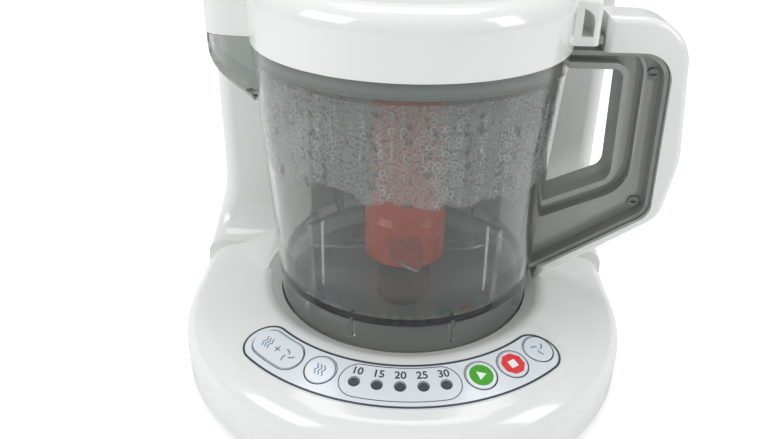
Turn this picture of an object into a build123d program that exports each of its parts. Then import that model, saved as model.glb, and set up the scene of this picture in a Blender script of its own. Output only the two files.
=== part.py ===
from build123d import *
from math import atan, cos, degrees, pi, radians, sin, sqrt, tan
import os

os.makedirs("parts", exist_ok=True)

# Baby food maker: a low round base that carries a steaming and blending jug, and a tower
# behind it with the motor, the water tank and the boiler.
# Millimetres. +Z is up, +X is to the user's right and +Y is to the back.
# The jug axis is the vertical line that the round pieces share. Every height is above the table.

# ---- driving sizes: base and tower ----
base_r = 107.0  # round front of the base, about the jug axis
rear_y = 115.0  # flat back, behind the jug axis
rear_corner_r = 28.0  # rear corners in plan
front_corner_r = 8.0
shell_t = 2.6  # moulded wall of the housing
base_z = 4.5  # lower edge of the housing
deck_z = 36.0  # lip of the jug well
crest_rise = 3.3  # the deck's crest above that lip
crest_r = 68.0  # radius of the crest
crest_round_r = 8.0
deck_slope = 15.6  # fall of the panel, degrees
shoulder_r = 14.0  # rounding from deck to side
tower_half = 99.0  # half width of the tower
tower_top = 205.0
wing_y = 50.0  # front faces of the tower
wing_foot_r = 16.0  # hollow round from the wings to the deck
flare_low = 22.0  # the side starts to lean in here
flare_high = 70.0  # and is upright again here
bay_r = 74.0  # hollow of the tower around the jug
tower_edge_r = 12.0

# ---- driving sizes: jug, lid and handle ----
well_r = 60.3  # hole in the deck
well_depth = 10.0
jug_foot_r = 59.7
jug_top_r = 67.1
jug_wall = 2.4
band_z = 151.2  # lower line of the rim band
band_r = 67.5
rim_z = 158.5
jug_floor_z = 51.7
floor_t = 3.0
lid_r = 68.0
lid_top = 185.0
lid_wall = 2.4
spout_reach = 87.3
spout_half = 10.4
spout_low = 131.0
spout_root_r = 70.3  # where the curve under the spout meets the bowl
spout_root_z = 134.0
handle_reach = 120.8
handle_half = 11.0
frame_half = 9.0

# ---- driving sizes: panel, keys and drive ----
panel_in_r = 71.5
panel_out_r = 92.2
panel_half_angle = 53.5
panel_t = 0.5
key_pitch_r = 81.0
key_d = 13.6
led_d = 3.9
led_step = 6.7  # degrees
motor_x = 69.0  # motor axis from the jug axis
motor_y = 85.0
motor_r = 23.5
motor_low = 32.0
motor_high = 102.0
spindle_d = 8.0
small_pulley_r = 8.0
large_pulley_r = 24.0
pulley_z = 10.0
pulley_w = 8.0
belt_t = 1.6

# ---- named clearances ----
slide_gap = 0.3  # pieces that slide or lie face to face
run_gap = 0.05  # shafts in their bushes, on the radius
skin_gap = 0.15  # trim in its seat

# ---- worked out from the above ----
gland_proud = 6.0
jug_x = -(handle_reach - base_r) / 2
jug_y = -(rear_y + gland_proud - base_r) / 2
slope = tan(radians(deck_slope))
crest_z = deck_z + crest_rise
well_floor_z = deck_z - well_depth
spin_axis = Axis((jug_x, jug_y, 0), (0, 0, 1))
front_section = Plane((jug_x, jug_y, 0), x_dir=(1, 0, 0), z_dir=(0, -1, 0))  # x is X, y is Z
side_section = Plane((jug_x, jug_y, 0), x_dir=(0, 1, 0), z_dir=(1, 0, 0))  # x is Y, y is Z


def level(z):
    # a horizontal plane centred on the jug axis
    return Plane((jug_x, jug_y, z))


def deck_height(r):
    # height of the conical part of the deck at a radius from the jug axis
    return crest_z - (r - crest_r) * slope


def deck_point(r, angle):
    # a point on the deck, with its angle counted from straight ahead towards +X
    a = radians(angle)
    return (jug_x + r * sin(a), jug_y - r * cos(a), deck_height(r))


def key_plane(angle, r=key_pitch_r):
    # lies on the sloping deck: x to the user's right, y up the slope, z out of the deck
    a = radians(angle)
    b = radians(deck_slope)
    across = (cos(a), sin(a), 0)
    outward = (sin(a) * sin(b), -cos(a) * sin(b), cos(b))
    return Plane(deck_point(r, angle), x_dir=across, z_dir=outward)


def corner_at(sketch, point):
    # the corner of a profile nearest to a point of its own plane
    return sketch.vertices().sort_by_distance((point[0], point[1], 0))[0]


def around(r, angle):
    # plan position on a horizontal plane, same angle as above
    return (r * sin(radians(angle)), -r * cos(radians(angle)))


# ---------------------------------------------------------------- housing
def deck_form(inset, bottom):
    # round deck in front, straight sides behind, one cross section for both
    r = base_r - inset
    top = deck_z - inset
    drop = inset / cos(radians(deck_slope))
    corner = (r, deck_height(base_r) - drop + inset * slope)
    crest = (crest_r, crest_z - drop)
    half = [(0, bottom), (0, top), (well_r, top), crest, corner, (r, bottom)]
    mirrored = [(-x, z) for x, z in half]
    with BuildPart() as deck:
        with BuildSketch(front_section) as front_half:
            with BuildLine():
                Polyline(*mirrored, close=True)
            make_face()
            fillet(corner_at(front_half, (-corner[0], corner[1])), shoulder_r - inset)
            fillet(corner_at(front_half, (-crest[0], crest[1])), crest_round_r)
        revolve(axis=spin_axis, revolution_arc=180)
        with BuildSketch(front_section) as section:
            with BuildLine():
                Polyline(*half[1:], *mirrored[:0:-1], close=True)
            make_face()
            for side in (-1, 1):
                fillet(corner_at(section, (side * corner[0], corner[1])), shoulder_r - inset)
                fillet(corner_at(section, (side * crest[0], crest[1])), crest_round_r)
        extrude(amount=-(bay_r + 2 * shell_t))  # past the bay, the tower takes over
    return deck.part


def tower_form(inset, bottom):
    # sides that lean in, front with a hollow foot
    low = base_r - inset
    high = tower_half - inset
    top = tower_top - inset
    front = wing_y + inset
    foot_y = front - wing_foot_r
    foot_z = deck_height(crest_r + 16) - inset
    with BuildPart() as tower:
        with BuildSketch(front_section):
            with BuildLine():
                Line((0, bottom), (low, bottom))
                Line((low, bottom), (low, flare_low))
                Spline((low, flare_low), (high, flare_high), tangents=((0, 1), (0, 1)))
                Line((high, flare_high), (high, top))
                Line((high, top), (0, top))
                Line((0, top), (0, bottom))
            make_face()
            mirror(about=Plane.YZ)
        extrude(amount=-(rear_y - inset))
        with BuildSketch(side_section):
            with BuildLine():
                Line((foot_y, bottom), (foot_y, foot_z))
                RadiusArc((foot_y, foot_z), (front, foot_z + wing_foot_r), -wing_foot_r)
                Line((front, foot_z + wing_foot_r), (front, top))
                Line((front, top), (rear_y - inset, top))
                Line((rear_y - inset, top), (rear_y - inset, bottom))
                Line((rear_y - inset, bottom), (foot_y, bottom))
            make_face()
        extrude(amount=2 * base_r, both=True, mode=Mode.INTERSECT)
        fillet(upright_edges(tower, rear_y - inset), rear_corner_r - inset)
        fillet(upright_edges(tower, front), front_corner_r - inset)
        fillet(tower.edges().group_by(Axis.Z)[-1], tower_edge_r - inset)
    return tower.part


def upright_edges(builder, y):
    # the two side edges of the tower that stand at one depth
    def on_side(edge):
        middle = edge.center()
        return abs(middle.Y - jug_y - y) < 0.01 and abs(middle.X - jug_x) > tower_half - 10

    return builder.edges().filter_by(on_side)


def housing_form(inset, bottom):
    # the whole outer form, or the hollow inside it when it is inset by the wall
    deck = deck_form(inset, bottom)
    tower = tower_form(inset, bottom)
    with BuildPart() as form:
        add(tower)
        with BuildSketch(level(bottom)):
            Circle(bay_r + inset)
        extrude(amount=2 * tower_top, mode=Mode.SUBTRACT)
        add(deck)
    return form.part


# control panel places, in degrees from straight ahead
led_angles = [led_step * n for n in (-2, -1, 0, 1, 2)]
key_angles = {"steam_key": -24.5, "start_key": 24.5, "stop_key": 36.0, "blend_key": 47.6}
pill_angle = -41.2  # the long steam and blend key
pill_sweep = 9.5
board_post_angles = (-50, -16.5, 16.5, 42)
board_z = 21.0
board_t = 1.6
board_in_r = 66.0
board_out_r = 92.0
post_r = 68.8
post_d = 4.6
key_stem_d = 4.0
switch_h = 4.3
key_top_t = 1.8

# tank, in the left half of the tower, and its well
tank_left = -86.0
tank_right = -22.0
tank_front = 61.0
tank_back = 105.5
tank_bay_r = bay_r + shell_t + 1.6
tank_low = 96.0
tank_wall = 2.0
tank_rim_z = tower_top - 3.6
tank_corner_r = 7.0
valve_x = -70.0
valve_y = 84.0
boiler_r = 24.0
boiler_low = 34.0
boiler_high = 66.0
nozzle_z = 166.0

# rear opening and its cover
rear_half = 62.0
rear_low = 16.0
rear_high = 176.0
cover_t = 2.4
inlet_x = 42.0
inlet_z = 35.0
inlet_r = 3.6  # bore for the cord
inlet_outer_r = 7.0
boss_d = 7.0
boss_z = 8.4  # lower end of the bosses, on the base pan
screw_d = 3.0
boss_inset = shell_t + boss_d / 2 - 0.3
screw_head_r = 2.6
# x, y and top of each boss: two under the deck, two on the sides, two on the rear wall
bosses = [(s * 84, -18, deck_height(86) - shell_t / 2) for s in (-1, 1)]
bosses += [(s * (base_r - boss_inset), 62, 27) for s in (-1, 1)]
bosses += [(s * 40, rear_y - boss_inset, rear_low - 4.6) for s in (-1, 1)]
screw_places = [(x, y) for x, y, top in bosses]
rear_screw_places = [(-rear_half + 5, rear_low + 5), (rear_half - 5, rear_low + 5),
                     (-rear_half + 5, rear_high - 5), (rear_half - 5, rear_high - 5)]


def tank_plan(inset):
    # plan of the tank: a box with a hollow front corner that clears the bay
    with BuildSketch() as plan:
        with Locations(((tank_left + tank_right) / 2, (tank_front + tank_back) / 2)):
            Rectangle(tank_right - tank_left - 2 * inset, tank_back - tank_front - 2 * inset)
        Circle(tank_bay_r + inset, mode=Mode.SUBTRACT)
        fillet(plan.vertices(), tank_corner_r - inset)
    return plan.sketch


def pill_face(width):
    # long key, bent to follow the panel
    cone_r = key_pitch_r / cos(radians(deck_slope))
    with BuildSketch() as pill:
        SlotArc(CenterArc((0, cone_r), cone_r, 270 - pill_sweep / 2, pill_sweep), width)
    return pill.sketch


pill_hole = pill_face(key_d)
outer_form = housing_form(0, base_z)
inner_form = housing_form(shell_t, base_z - 5)  # runs out below, so the shell is open there
with BuildPart() as housing:
    add(outer_form)
    add(inner_form, mode=Mode.SUBTRACT)
    with BuildSketch(level(well_floor_z - floor_t)):
        Circle(well_r + shell_t)
    extrude(amount=well_depth + floor_t)
    with BuildSketch(level(well_floor_z)):
        Circle(well_r)
    extrude(amount=2 * well_depth, mode=Mode.SUBTRACT)
    # the crest of the deck goes on around the back of the well
    with BuildSketch(front_section):
        with BuildLine():
            Polyline((well_r, deck_z - 1.5), (well_r, deck_z), (crest_r, crest_z),
                     (bay_r + 1, deck_height(bay_r + 1)), (bay_r + 1, deck_z - 1.5), close=True)
        make_face()
    revolve(axis=spin_axis, revolution_arc=180)
    # upper bearing seat of the drive spindle
    with BuildSketch(level(well_floor_z - floor_t - 2)):
        Circle(spindle_d / 2 + 4.5)
    extrude(amount=floor_t + 3)
    with BuildSketch(level(well_floor_z - floor_t - 3)):
        Circle(spindle_d / 2 + 2.5)
    extrude(amount=floor_t + 10, mode=Mode.SUBTRACT)
    # posts that carry the control board
    for angle in board_post_angles:
        with BuildSketch(level(board_z + board_t)):
            with Locations(around(post_r, angle)):
                Circle(post_d / 2)
        extrude(amount=deck_height(post_r) - board_z - board_t - 1.5)
    # screw bosses inside the lower edge
    for x, y, top in bosses:
        with BuildSketch(level(boss_z)):
            with Locations((x, y)):
                Circle(boss_d / 2)
        extrude(amount=top - boss_z)
    with BuildSketch(level(base_z)):
        with Locations(*screw_places):
            Circle(screw_d / 2 + skin_gap)
    extrude(amount=boss_z - base_z + 4, mode=Mode.SUBTRACT)
    # key and lamp holes through the deck
    for angle in key_angles.values():
        with BuildSketch(key_plane(angle).offset(-8)):
            Circle(key_d / 2)
        extrude(amount=12, mode=Mode.SUBTRACT)
    for angle in led_angles:
        with BuildSketch(key_plane(angle, key_pitch_r + 1).offset(-8)):
            Circle(led_d / 2 + skin_gap)
        extrude(amount=12, mode=Mode.SUBTRACT)
    with BuildSketch(key_plane(pill_angle).offset(-8)):
        add(pill_hole)
    extrude(amount=12, mode=Mode.SUBTRACT)
    # tank opening in the top, rear opening, steam nozzle hole
    with BuildSketch(level(tower_top - 2 * shell_t)):
        add(tank_plan(-0.6))
    extrude(amount=20, mode=Mode.SUBTRACT)
    with BuildSketch(front_section.offset(-(rear_y - 2 * shell_t))):
        with Locations((0, (rear_low + rear_high) / 2)):
            RectangleRounded(2 * rear_half, rear_high - rear_low, 6)
    extrude(amount=-20, mode=Mode.SUBTRACT)
    with BuildSketch(front_section.offset(-bay_r + 4)):
        with Locations((0, nozzle_z)):
            Circle(5.5)
    extrude(amount=-12, mode=Mode.SUBTRACT)
housing.part.label = "housing"
export_step(housing.part, "parts/housing.step")

# ---------------------------------------------------------------- base pan, feet and cover
pan_gap = slide_gap
pan_z = base_z + 0.5
pan_t = 2.4
with BuildPart() as base_pan:
    with BuildSketch(level(pan_z)):
        with BuildLine():
            r = base_r - shell_t - pan_gap
            back = rear_y - shell_t - pan_gap
            corner_r = rear_corner_r - shell_t - pan_gap
            CenterArc((0, 0), r, 180, 180)
            Line((r, 0), (r, back - corner_r))
            RadiusArc((r, back - corner_r), (r - corner_r, back), -corner_r)
            Line((r - corner_r, back), (-r + corner_r, back))
            RadiusArc((-r + corner_r, back), (-r, back - corner_r), -corner_r)
            Line((-r, back - corner_r), (-r, 0))
        make_face()
    extrude(amount=pan_t)
    # raised rings under the housing bosses, and the lower bearing seat
    with BuildSketch(level(pan_z + pan_t)):
        with Locations(*screw_places):
            Circle(screw_head_r)
    extrude(amount=boss_z - pan_z - pan_t - 0.1)
    with BuildSketch(level(pan_z + pan_t)):
        Circle(spindle_d / 2 + 4.5)
    extrude(amount=1.2)
    with BuildSketch(level(pan_z + 1)):
        Circle(spindle_d / 2 + 2.5)
    extrude(amount=10, mode=Mode.SUBTRACT)
    with BuildSketch(level(pan_z)):
        with Locations(*screw_places):
            Circle(screw_d / 2 + skin_gap)
        with Locations((motor_x, motor_y)):
            with PolarLocations(14, 6):
                Circle(2.2)
        with Locations((-60, 80)):
            with GridLocations(7, 0, 5, 1):
                SlotOverall(22, 3, rotation=90)
    extrude(amount=10, mode=Mode.SUBTRACT)
base_pan.part.label = "base_pan"
export_step(base_pan.part, "parts/base_pan.step")

foot_d = 16.0
foot_places = [(-70, -58), (70, -58), (-84, 92), (84, 92)]
with BuildPart() as rubber_feet:
    with BuildSketch(level(0)):
        with Locations(*foot_places):
            Circle(foot_d / 2)
    extrude(amount=pan_z)
    chamfer(rubber_feet.edges().group_by(Axis.Z)[0], 0.8)
rubber_feet.part.label = "rubber_feet"
export_step(rubber_feet.part, "parts/rubber_feet.step")

with BuildPart() as housing_screws:
    with BuildSketch(level(pan_z - 0.05)):
        with Locations(*screw_places):
            Circle(screw_head_r)
    extrude(amount=-1.6)
    with BuildSketch(level(pan_z - 0.05)):
        with Locations(*screw_places):
            Circle(screw_d / 2)
    extrude(amount=boss_z - base_z + 2.5)
    for x, y in screw_places:
        with BuildSketch(level(pan_z - 1.65)):
            with Locations((x, y)):
                Rectangle(3.4, 0.7)
                Rectangle(0.7, 3.4)
        extrude(amount=0.8, mode=Mode.SUBTRACT)
housing_screws.part.label = "housing_screws"
export_step(housing_screws.part, "parts/housing_screws.step")

cover_half = rear_half - slide_gap
with BuildPart() as rear_cover:
    with BuildSketch(front_section.offset(-rear_y)):
        with Locations((0, (rear_low + rear_high) / 2)):
            RectangleRounded(2 * cover_half, rear_high - rear_low - 2 * slide_gap, 6 - slide_gap)
    extrude(amount=cover_t)
    # flange behind the edge of the opening
    with BuildSketch(front_section.offset(-rear_y + shell_t + skin_gap)):
        with Locations((0, (rear_low + rear_high) / 2)):
            RectangleRounded(2 * cover_half + 8, rear_high - rear_low + 7, 9)
            RectangleRounded(2 * cover_half - 16, rear_high - rear_low - 16, 6, mode=Mode.SUBTRACT)
    extrude(amount=1.8)
    with BuildSketch(front_section.offset(-rear_y + shell_t + skin_gap)):
        with Locations((0, (rear_low + rear_high) / 2)):
            RectangleRounded(2 * cover_half - 8, rear_high - rear_low - 8, 6)
            RectangleRounded(2 * cover_half - 16, rear_high - rear_low - 16, 6, mode=Mode.SUBTRACT)
    extrude(amount=-1)
    # air slots, screw holes and the hole for the cord inlet
    with BuildSketch(front_section.offset(-rear_y - 1)):
        with Locations((-30, 62)):
            with GridLocations(0, 6, 1, 9):
                SlotOverall(40, 2.6)
        with Locations((30, 62)):
            with GridLocations(0, 6, 1, 9):
                SlotOverall(40, 2.6)
        with Locations(*rear_screw_places):
            Circle(screw_d / 2 + skin_gap)
        with Locations((inlet_x, inlet_z)):
            Circle(inlet_outer_r - 1.5)
    extrude(amount=12, mode=Mode.SUBTRACT)
rear_cover.part.label = "rear_cover"
export_step(rear_cover.part, "parts/rear_cover.step")

with BuildPart() as cover_screws:
    with BuildSketch(front_section.offset(-rear_y - 0.05)):
        with Locations(*rear_screw_places):
            Circle(screw_d)
    extrude(amount=-1.4)
    with BuildSketch(front_section.offset(-rear_y - 0.05)):
        with Locations(*rear_screw_places):
            Circle(screw_d / 2)
    extrude(amount=5.5)
cover_screws.part.label = "cover_screws"
export_step(cover_screws.part, "parts/cover_screws.step")

with BuildPart() as cord_inlet:
    with BuildSketch(front_section.offset(-rear_y - gland_proud)):
        with Locations((inlet_x, inlet_z)):
            Circle(inlet_outer_r)
    extrude(amount=gland_proud - 0.1, taper=-6)
    with BuildSketch(front_section.offset(-rear_y)):
        with Locations((inlet_x, inlet_z)):
            Circle(inlet_outer_r - 1.7)
    extrude(amount=8, both=True)
    with BuildSketch(front_section.offset(-rear_y + cover_t + 0.15)):
        with Locations((inlet_x, inlet_z)):
            Circle(inlet_outer_r)
    extrude(amount=3)
    with BuildSketch(front_section.offset(-rear_y - gland_proud - 5)):
        with Locations((inlet_x, inlet_z)):
            Circle(inlet_r)
    extrude(amount=30, mode=Mode.SUBTRACT)
    with BuildSketch(front_section.offset(-rear_y - gland_proud)):
        with Locations((inlet_x, inlet_z)):
            Circle(inlet_outer_r * 2)
    extrude(amount=-20, mode=Mode.SUBTRACT)
cord_inlet.part.label = "cord_inlet"
export_step(cord_inlet.part, "parts/cord_inlet.step")

# ---------------------------------------------------------------- panel, keys and board
def ring_sector(r_in, r_out, half_angle, round_ends):
    # plan of a band in front of the jug, its ends rounded like a slot or only at the corners
    middle_r = (r_in + r_out) / 2
    width = r_out - r_in
    with BuildSketch() as band:
        if round_ends:
            end = degrees(width / 2 / middle_r)
            SlotArc(CenterArc((0, 0), middle_r, 270 - half_angle + end, 2 * (half_angle - end)), width)
        else:
            with BuildLine():
                CenterArc((0, 0), r_out, 270 - half_angle, 2 * half_angle)
                CenterArc((0, 0), r_in, 270 - half_angle, 2 * half_angle)
                Line(around(r_in, -half_angle), around(r_out, -half_angle))
                Line(around(r_in, half_angle), around(r_out, half_angle))
            make_face()
    return band.sketch


panel_plan = ring_sector(panel_in_r, panel_out_r, panel_half_angle, True)
with BuildPart() as control_panel:
    with BuildSketch(front_section):
        with BuildLine():
            Polyline((panel_in_r - 2, deck_height(panel_in_r - 2) + 0.02),
                     (panel_out_r + 2, deck_height(panel_out_r + 2) + 0.02),
                     (panel_out_r + 2, deck_height(panel_out_r + 2) + panel_t),
                     (panel_in_r - 2, deck_height(panel_in_r - 2) + panel_t), close=True)
        make_face()
    revolve(axis=spin_axis)
    with BuildSketch(level(0)):
        add(panel_plan)
    extrude(amount=2 * deck_z, mode=Mode.INTERSECT)
    for angle in key_angles.values():
        with BuildSketch(key_plane(angle).offset(-3)):
            Circle(key_d / 2)
        extrude(amount=6, mode=Mode.SUBTRACT)
    for angle in led_angles:
        with BuildSketch(key_plane(angle, key_pitch_r + 1).offset(-3)):
            Circle(led_d / 2 + skin_gap)
        extrude(amount=6, mode=Mode.SUBTRACT)
    with BuildSketch(key_plane(pill_angle).offset(-3)):
        add(pill_hole)
    extrude(amount=6, mode=Mode.SUBTRACT)
control_panel.part.label = "control_panel"
export_step(control_panel.part, "parts/control_panel.step")

cap_d = key_d - 2 * slide_gap
pill_cap = pill_face(cap_d)
key_proud = panel_t + 0.35


def stem_length(angle):
    # from the underside of the cap down to the switch, leaving the travel free
    return (deck_height(key_pitch_r) - board_z - board_t - switch_h) / cos(radians(deck_slope)) - 1.5


for name, angle in key_angles.items():
    with BuildPart() as key:
        with BuildSketch(key_plane(angle).offset(key_proud)):
            Circle(cap_d / 2)
        extrude(amount=-key_proud - key_top_t)
        above = key_plane(angle).offset(5).origin
        fillet(key.edges().filter_by(GeomType.CIRCLE).sort_by_distance(above)[0], 0.4)
        with BuildSketch(key_plane(angle)):
            Circle(key_stem_d / 2)
        extrude(amount=-stem_length(angle))
    key.part.label = name
    export_step(key.part, f"parts/{name}.step")

with BuildPart() as steam_blend_key:
    with BuildSketch(key_plane(pill_angle).offset(key_proud)):
        add(pill_cap)
    extrude(amount=-key_proud - key_top_t)
    with BuildSketch(key_plane(pill_angle)):
        Circle(key_stem_d / 2)
    extrude(amount=-stem_length(pill_angle))
steam_blend_key.part.label = "steam_blend_key"
export_step(steam_blend_key.part, "parts/steam_blend_key.step")

with BuildPart() as led_lenses:
    for angle in led_angles:
        with BuildSketch(key_plane(angle, key_pitch_r + 1).offset(panel_t + 0.1)):
            Circle(led_d / 2)
        extrude(amount=-4.5)
led_lenses.part.label = "led_lenses"
export_step(led_lenses.part, "parts/led_lenses.step")

with BuildPart() as control_board:
    with BuildSketch(level(board_z)):
        add(ring_sector(board_in_r, board_out_r, 56, False))
        with Locations(*[around(post_r, angle) for angle in board_post_angles]):
            Circle(1.1, mode=Mode.SUBTRACT)
    extrude(amount=board_t)
control_board.part.label = "control_board"
export_step(control_board.part, "parts/control_board.step")

with BuildPart() as tact_switches:
    for angle in [pill_angle, *key_angles.values()]:
        # each sits under the foot of its key's slanted stem
        foot = key_plane(angle).offset(-stem_length(angle)).origin
        with BuildSketch(Plane((foot.X, foot.Y, board_z + board_t))):
            Rectangle(6, 6)
        extrude(amount=switch_h - 1)
        with BuildSketch(Plane((foot.X, foot.Y, board_z + board_t + switch_h - 1))):
            Circle(1.7)
        extrude(amount=1)
tact_switches.part.label = "tact_switches"
export_step(tact_switches.part, "parts/tact_switches.step")

with BuildPart() as board_leds:
    for angle in led_angles:
        low = key_plane(angle, key_pitch_r + 1).offset(-7).origin
        with BuildSketch(Plane((low.X, low.Y, board_z + board_t))):
            Circle(1.5)
        extrude(amount=4.5)
        fillet(board_leds.edges().group_by(Axis.Z)[-1], 0.9)
board_leds.part.label = "board_leds"
export_step(board_leds.part, "parts/board_leds.step")

with BuildPart() as board_screws:
    with BuildSketch(level(board_z)):
        with Locations(*[around(post_r, angle) for angle in board_post_angles]):
            Circle(2)
    extrude(amount=-1.4)
    with BuildSketch(level(board_z)):
        with Locations(*[around(post_r, angle) for angle in board_post_angles]):
            Circle(0.95)
    extrude(amount=board_t)
board_screws.part.label = "board_screws"
export_step(board_screws.part, "parts/board_screws.step")

# ---------------------------------------------------------------- drive
belt_length = sqrt(motor_x ** 2 + motor_y ** 2)
shaft_d = 5.0
bearing_t = 5.0
spindle_low = pan_z + 1.3
spindle_high = well_floor_z + 14.0
hex_flats = 17.0
hex_gap = 0.6


def motor_level(z):
    return Plane((jug_x + motor_x, jug_y + motor_y, z))


with BuildPart() as drive_spindle:
    with BuildSketch(level(spindle_low)):
        Circle(spindle_d / 2)
    extrude(amount=spindle_high - spindle_low)
    chamfer(drive_spindle.edges(), 0.4)
drive_spindle.part.label = "drive_spindle"
export_step(drive_spindle.part, "parts/drive_spindle.step")

with BuildPart() as spindle_bushes:
    with BuildSketch(level(pan_z + 1.1)):
        Circle(spindle_d / 2 + 2.4)
    extrude(amount=2.3)
    with BuildSketch(level(well_floor_z - floor_t - 1.9)):
        Circle(spindle_d / 2 + 2.4)
    extrude(amount=bearing_t)
    with BuildSketch(level(0)):
        Circle(spindle_d / 2 + run_gap)
    extrude(amount=deck_z, mode=Mode.SUBTRACT)
spindle_bushes.part.label = "spindle_bushes"
export_step(spindle_bushes.part, "parts/spindle_bushes.step")


def toothed_disc(teeth, r):
    # belt pulley with shallow round grooves
    with BuildSketch() as disc:
        Circle(r)
        with PolarLocations(r, teeth):
            Circle(0.45 * pi * r / teeth, mode=Mode.SUBTRACT)
    return disc.sketch


large_pulley_disc = toothed_disc(48, large_pulley_r)
small_pulley_disc = toothed_disc(16, small_pulley_r)
with BuildPart() as large_pulley:
    with BuildSketch(level(pulley_z)):
        add(large_pulley_disc)
        with PolarLocations(15, 6):
            Circle(4, mode=Mode.SUBTRACT)
    extrude(amount=pulley_w)
    with BuildSketch(level(pulley_z + pulley_w)):
        Circle(large_pulley_r + 1.4)
        Circle(large_pulley_r - 4, mode=Mode.SUBTRACT)
    extrude(amount=0.8)
    with BuildSketch(level(pulley_z - 0.8)):
        Circle(large_pulley_r + 1.4)
        Circle(large_pulley_r - 4, mode=Mode.SUBTRACT)
    extrude(amount=0.8)
    with BuildSketch(level(0)):
        Circle(spindle_d / 2 + 0.02)
    extrude(amount=deck_z, mode=Mode.SUBTRACT)
large_pulley.part.label = "large_pulley"
export_step(large_pulley.part, "parts/large_pulley.step")

with BuildPart() as small_pulley:
    with BuildSketch(motor_level(pulley_z)):
        add(small_pulley_disc)
    extrude(amount=pulley_w)
    with BuildSketch(motor_level(pulley_z + pulley_w)):
        Circle(small_pulley_r + 1.6)
    extrude(amount=1)
    with BuildSketch(motor_level(0)):
        Circle(shaft_d / 2 + 0.02)
    extrude(amount=deck_z, mode=Mode.SUBTRACT)
small_pulley.part.label = "small_pulley"
export_step(small_pulley.part, "parts/small_pulley.step")

# the belt runs straight between the two pulleys, along their common tangents
belt_gap = 0.15


def belt_plan(grow):
    # filled outline of the belt loop in plan, larger than the pulleys by a gap
    with BuildSketch() as loop:
        Circle(large_pulley_r + grow)
        with Locations((belt_length, 0)):
            Circle(small_pulley_r + grow)
        a = asin_degrees((large_pulley_r - small_pulley_r) / belt_length)
        big = large_pulley_r + grow
        small = small_pulley_r + grow
        c = sin(radians(a))
        d = cos(radians(a))
        with BuildLine():
            Polyline((big * c, big * d), (belt_length + small * c, small * d),
                     (belt_length + small * c, -small * d), (big * c, -big * d), close=True)
        make_face()
    return loop.sketch


def asin_degrees(value):
    return degrees(atan(value / sqrt(1 - value * value)))


belt_outer = belt_plan(belt_gap + belt_t)
belt_inner = belt_plan(belt_gap)
with BuildPart() as drive_belt:
    with BuildSketch(Plane((jug_x, jug_y, pulley_z + 0.6), x_dir=(motor_x, motor_y, 0), z_dir=(0, 0, 1))):
        add(belt_outer)
        add(belt_inner, mode=Mode.SUBTRACT)
    extrude(amount=pulley_w - 1.2)
drive_belt.part.label = "drive_belt"
export_step(drive_belt.part, "parts/drive_belt.step")

with BuildPart() as motor_can:
    with BuildSketch(motor_level(motor_low)):
        Circle(motor_r)
    extrude(amount=motor_high - motor_low)
    fillet(motor_can.edges().group_by(Axis.Z)[-1], 3)
    with BuildSketch(motor_level(motor_low - 3)):
        Circle(8)
    extrude(amount=3)
    with BuildSketch(motor_level(motor_low + 2)):
        Circle(motor_r - 2)
    extrude(amount=motor_high - motor_low - 4, mode=Mode.SUBTRACT)
    with BuildSketch(motor_level(0)):
        Circle(shaft_d / 2 + run_gap)
    extrude(amount=motor_high + 1, mode=Mode.SUBTRACT)
    with BuildSketch(motor_level(motor_high - 20)):
        with PolarLocations(motor_r - 1, 6):
            Rectangle(6, 5)
    extrude(amount=12, mode=Mode.SUBTRACT)
motor_can.part.label = "motor_can"
export_step(motor_can.part, "parts/motor_can.step")

with BuildPart() as motor_rotor:
    with BuildSketch(motor_level(pulley_z - 0.5)):
        Circle(shaft_d / 2)
    extrude(amount=motor_high + 5 - pulley_z)
    with BuildSketch(motor_level(motor_low + 10)):
        Circle(motor_r - 4.5)
        with PolarLocations(motor_r - 4.5, 8):
            Rectangle(6, 2.4, mode=Mode.SUBTRACT)
    extrude(amount=34)
    with BuildSketch(motor_level(motor_high - 22)):
        Circle(8)
    extrude(amount=14)
motor_rotor.part.label = "motor_rotor"
export_step(motor_rotor.part, "parts/motor_rotor.step")

with BuildPart() as motor_fan:
    with BuildSketch(motor_level(motor_high + 1)):
        Circle(6)
    extrude(amount=9)
    with BuildSketch(motor_level(motor_high + 1)):
        Circle(motor_r - 3)
    extrude(amount=1.2)
    with BuildSketch(motor_level(motor_high + 2.2)):
        with PolarLocations(13, 10):
            Rectangle(14, 1.2, rotation=20)
    extrude(amount=6)
    with BuildSketch(motor_level(motor_high)):
        Circle(shaft_d / 2 + 0.02)
    extrude(amount=12, mode=Mode.SUBTRACT)
motor_fan.part.label = "motor_fan"
export_step(motor_fan.part, "parts/motor_fan.step")

with BuildPart() as motor_bracket:
    # plate under the motor on three legs that stand on the pan
    plate_z = motor_low - 3.1
    with BuildSketch(motor_level(plate_z)):
        Circle(motor_r + 1)
        Circle(8.2, mode=Mode.SUBTRACT)
    extrude(amount=3)
    with BuildSketch(motor_level(pan_z + pan_t)):
        for angle in (51, -49, 151):
            with Locations((19 * cos(radians(angle)), 19 * sin(radians(angle)))):
                Circle(3.4)
    extrude(amount=plate_z - pan_z - pan_t)
motor_bracket.part.label = "motor_bracket"
export_step(motor_bracket.part, "parts/motor_bracket.step")

coupling_low = well_floor_z + 1.0
with BuildPart() as drive_coupling:
    with BuildSketch(level(coupling_low + 0.9)):
        Circle(13)
    extrude(amount=2)
    with BuildSketch(level(coupling_low + 2.9)):
        RegularPolygon(hex_flats / 2, 6, major_radius=False)
    extrude(amount=spindle_high - coupling_low - 2.9 + 0.5)
    chamfer(drive_coupling.edges().group_by(Axis.Z)[-1], 0.8)
    with BuildSketch(level(0)):
        Circle(spindle_d / 2 + 0.02)
    extrude(amount=spindle_high + 0.1, mode=Mode.SUBTRACT)
drive_coupling.part.label = "drive_coupling"
export_step(drive_coupling.part, "parts/drive_coupling.step")

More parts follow.
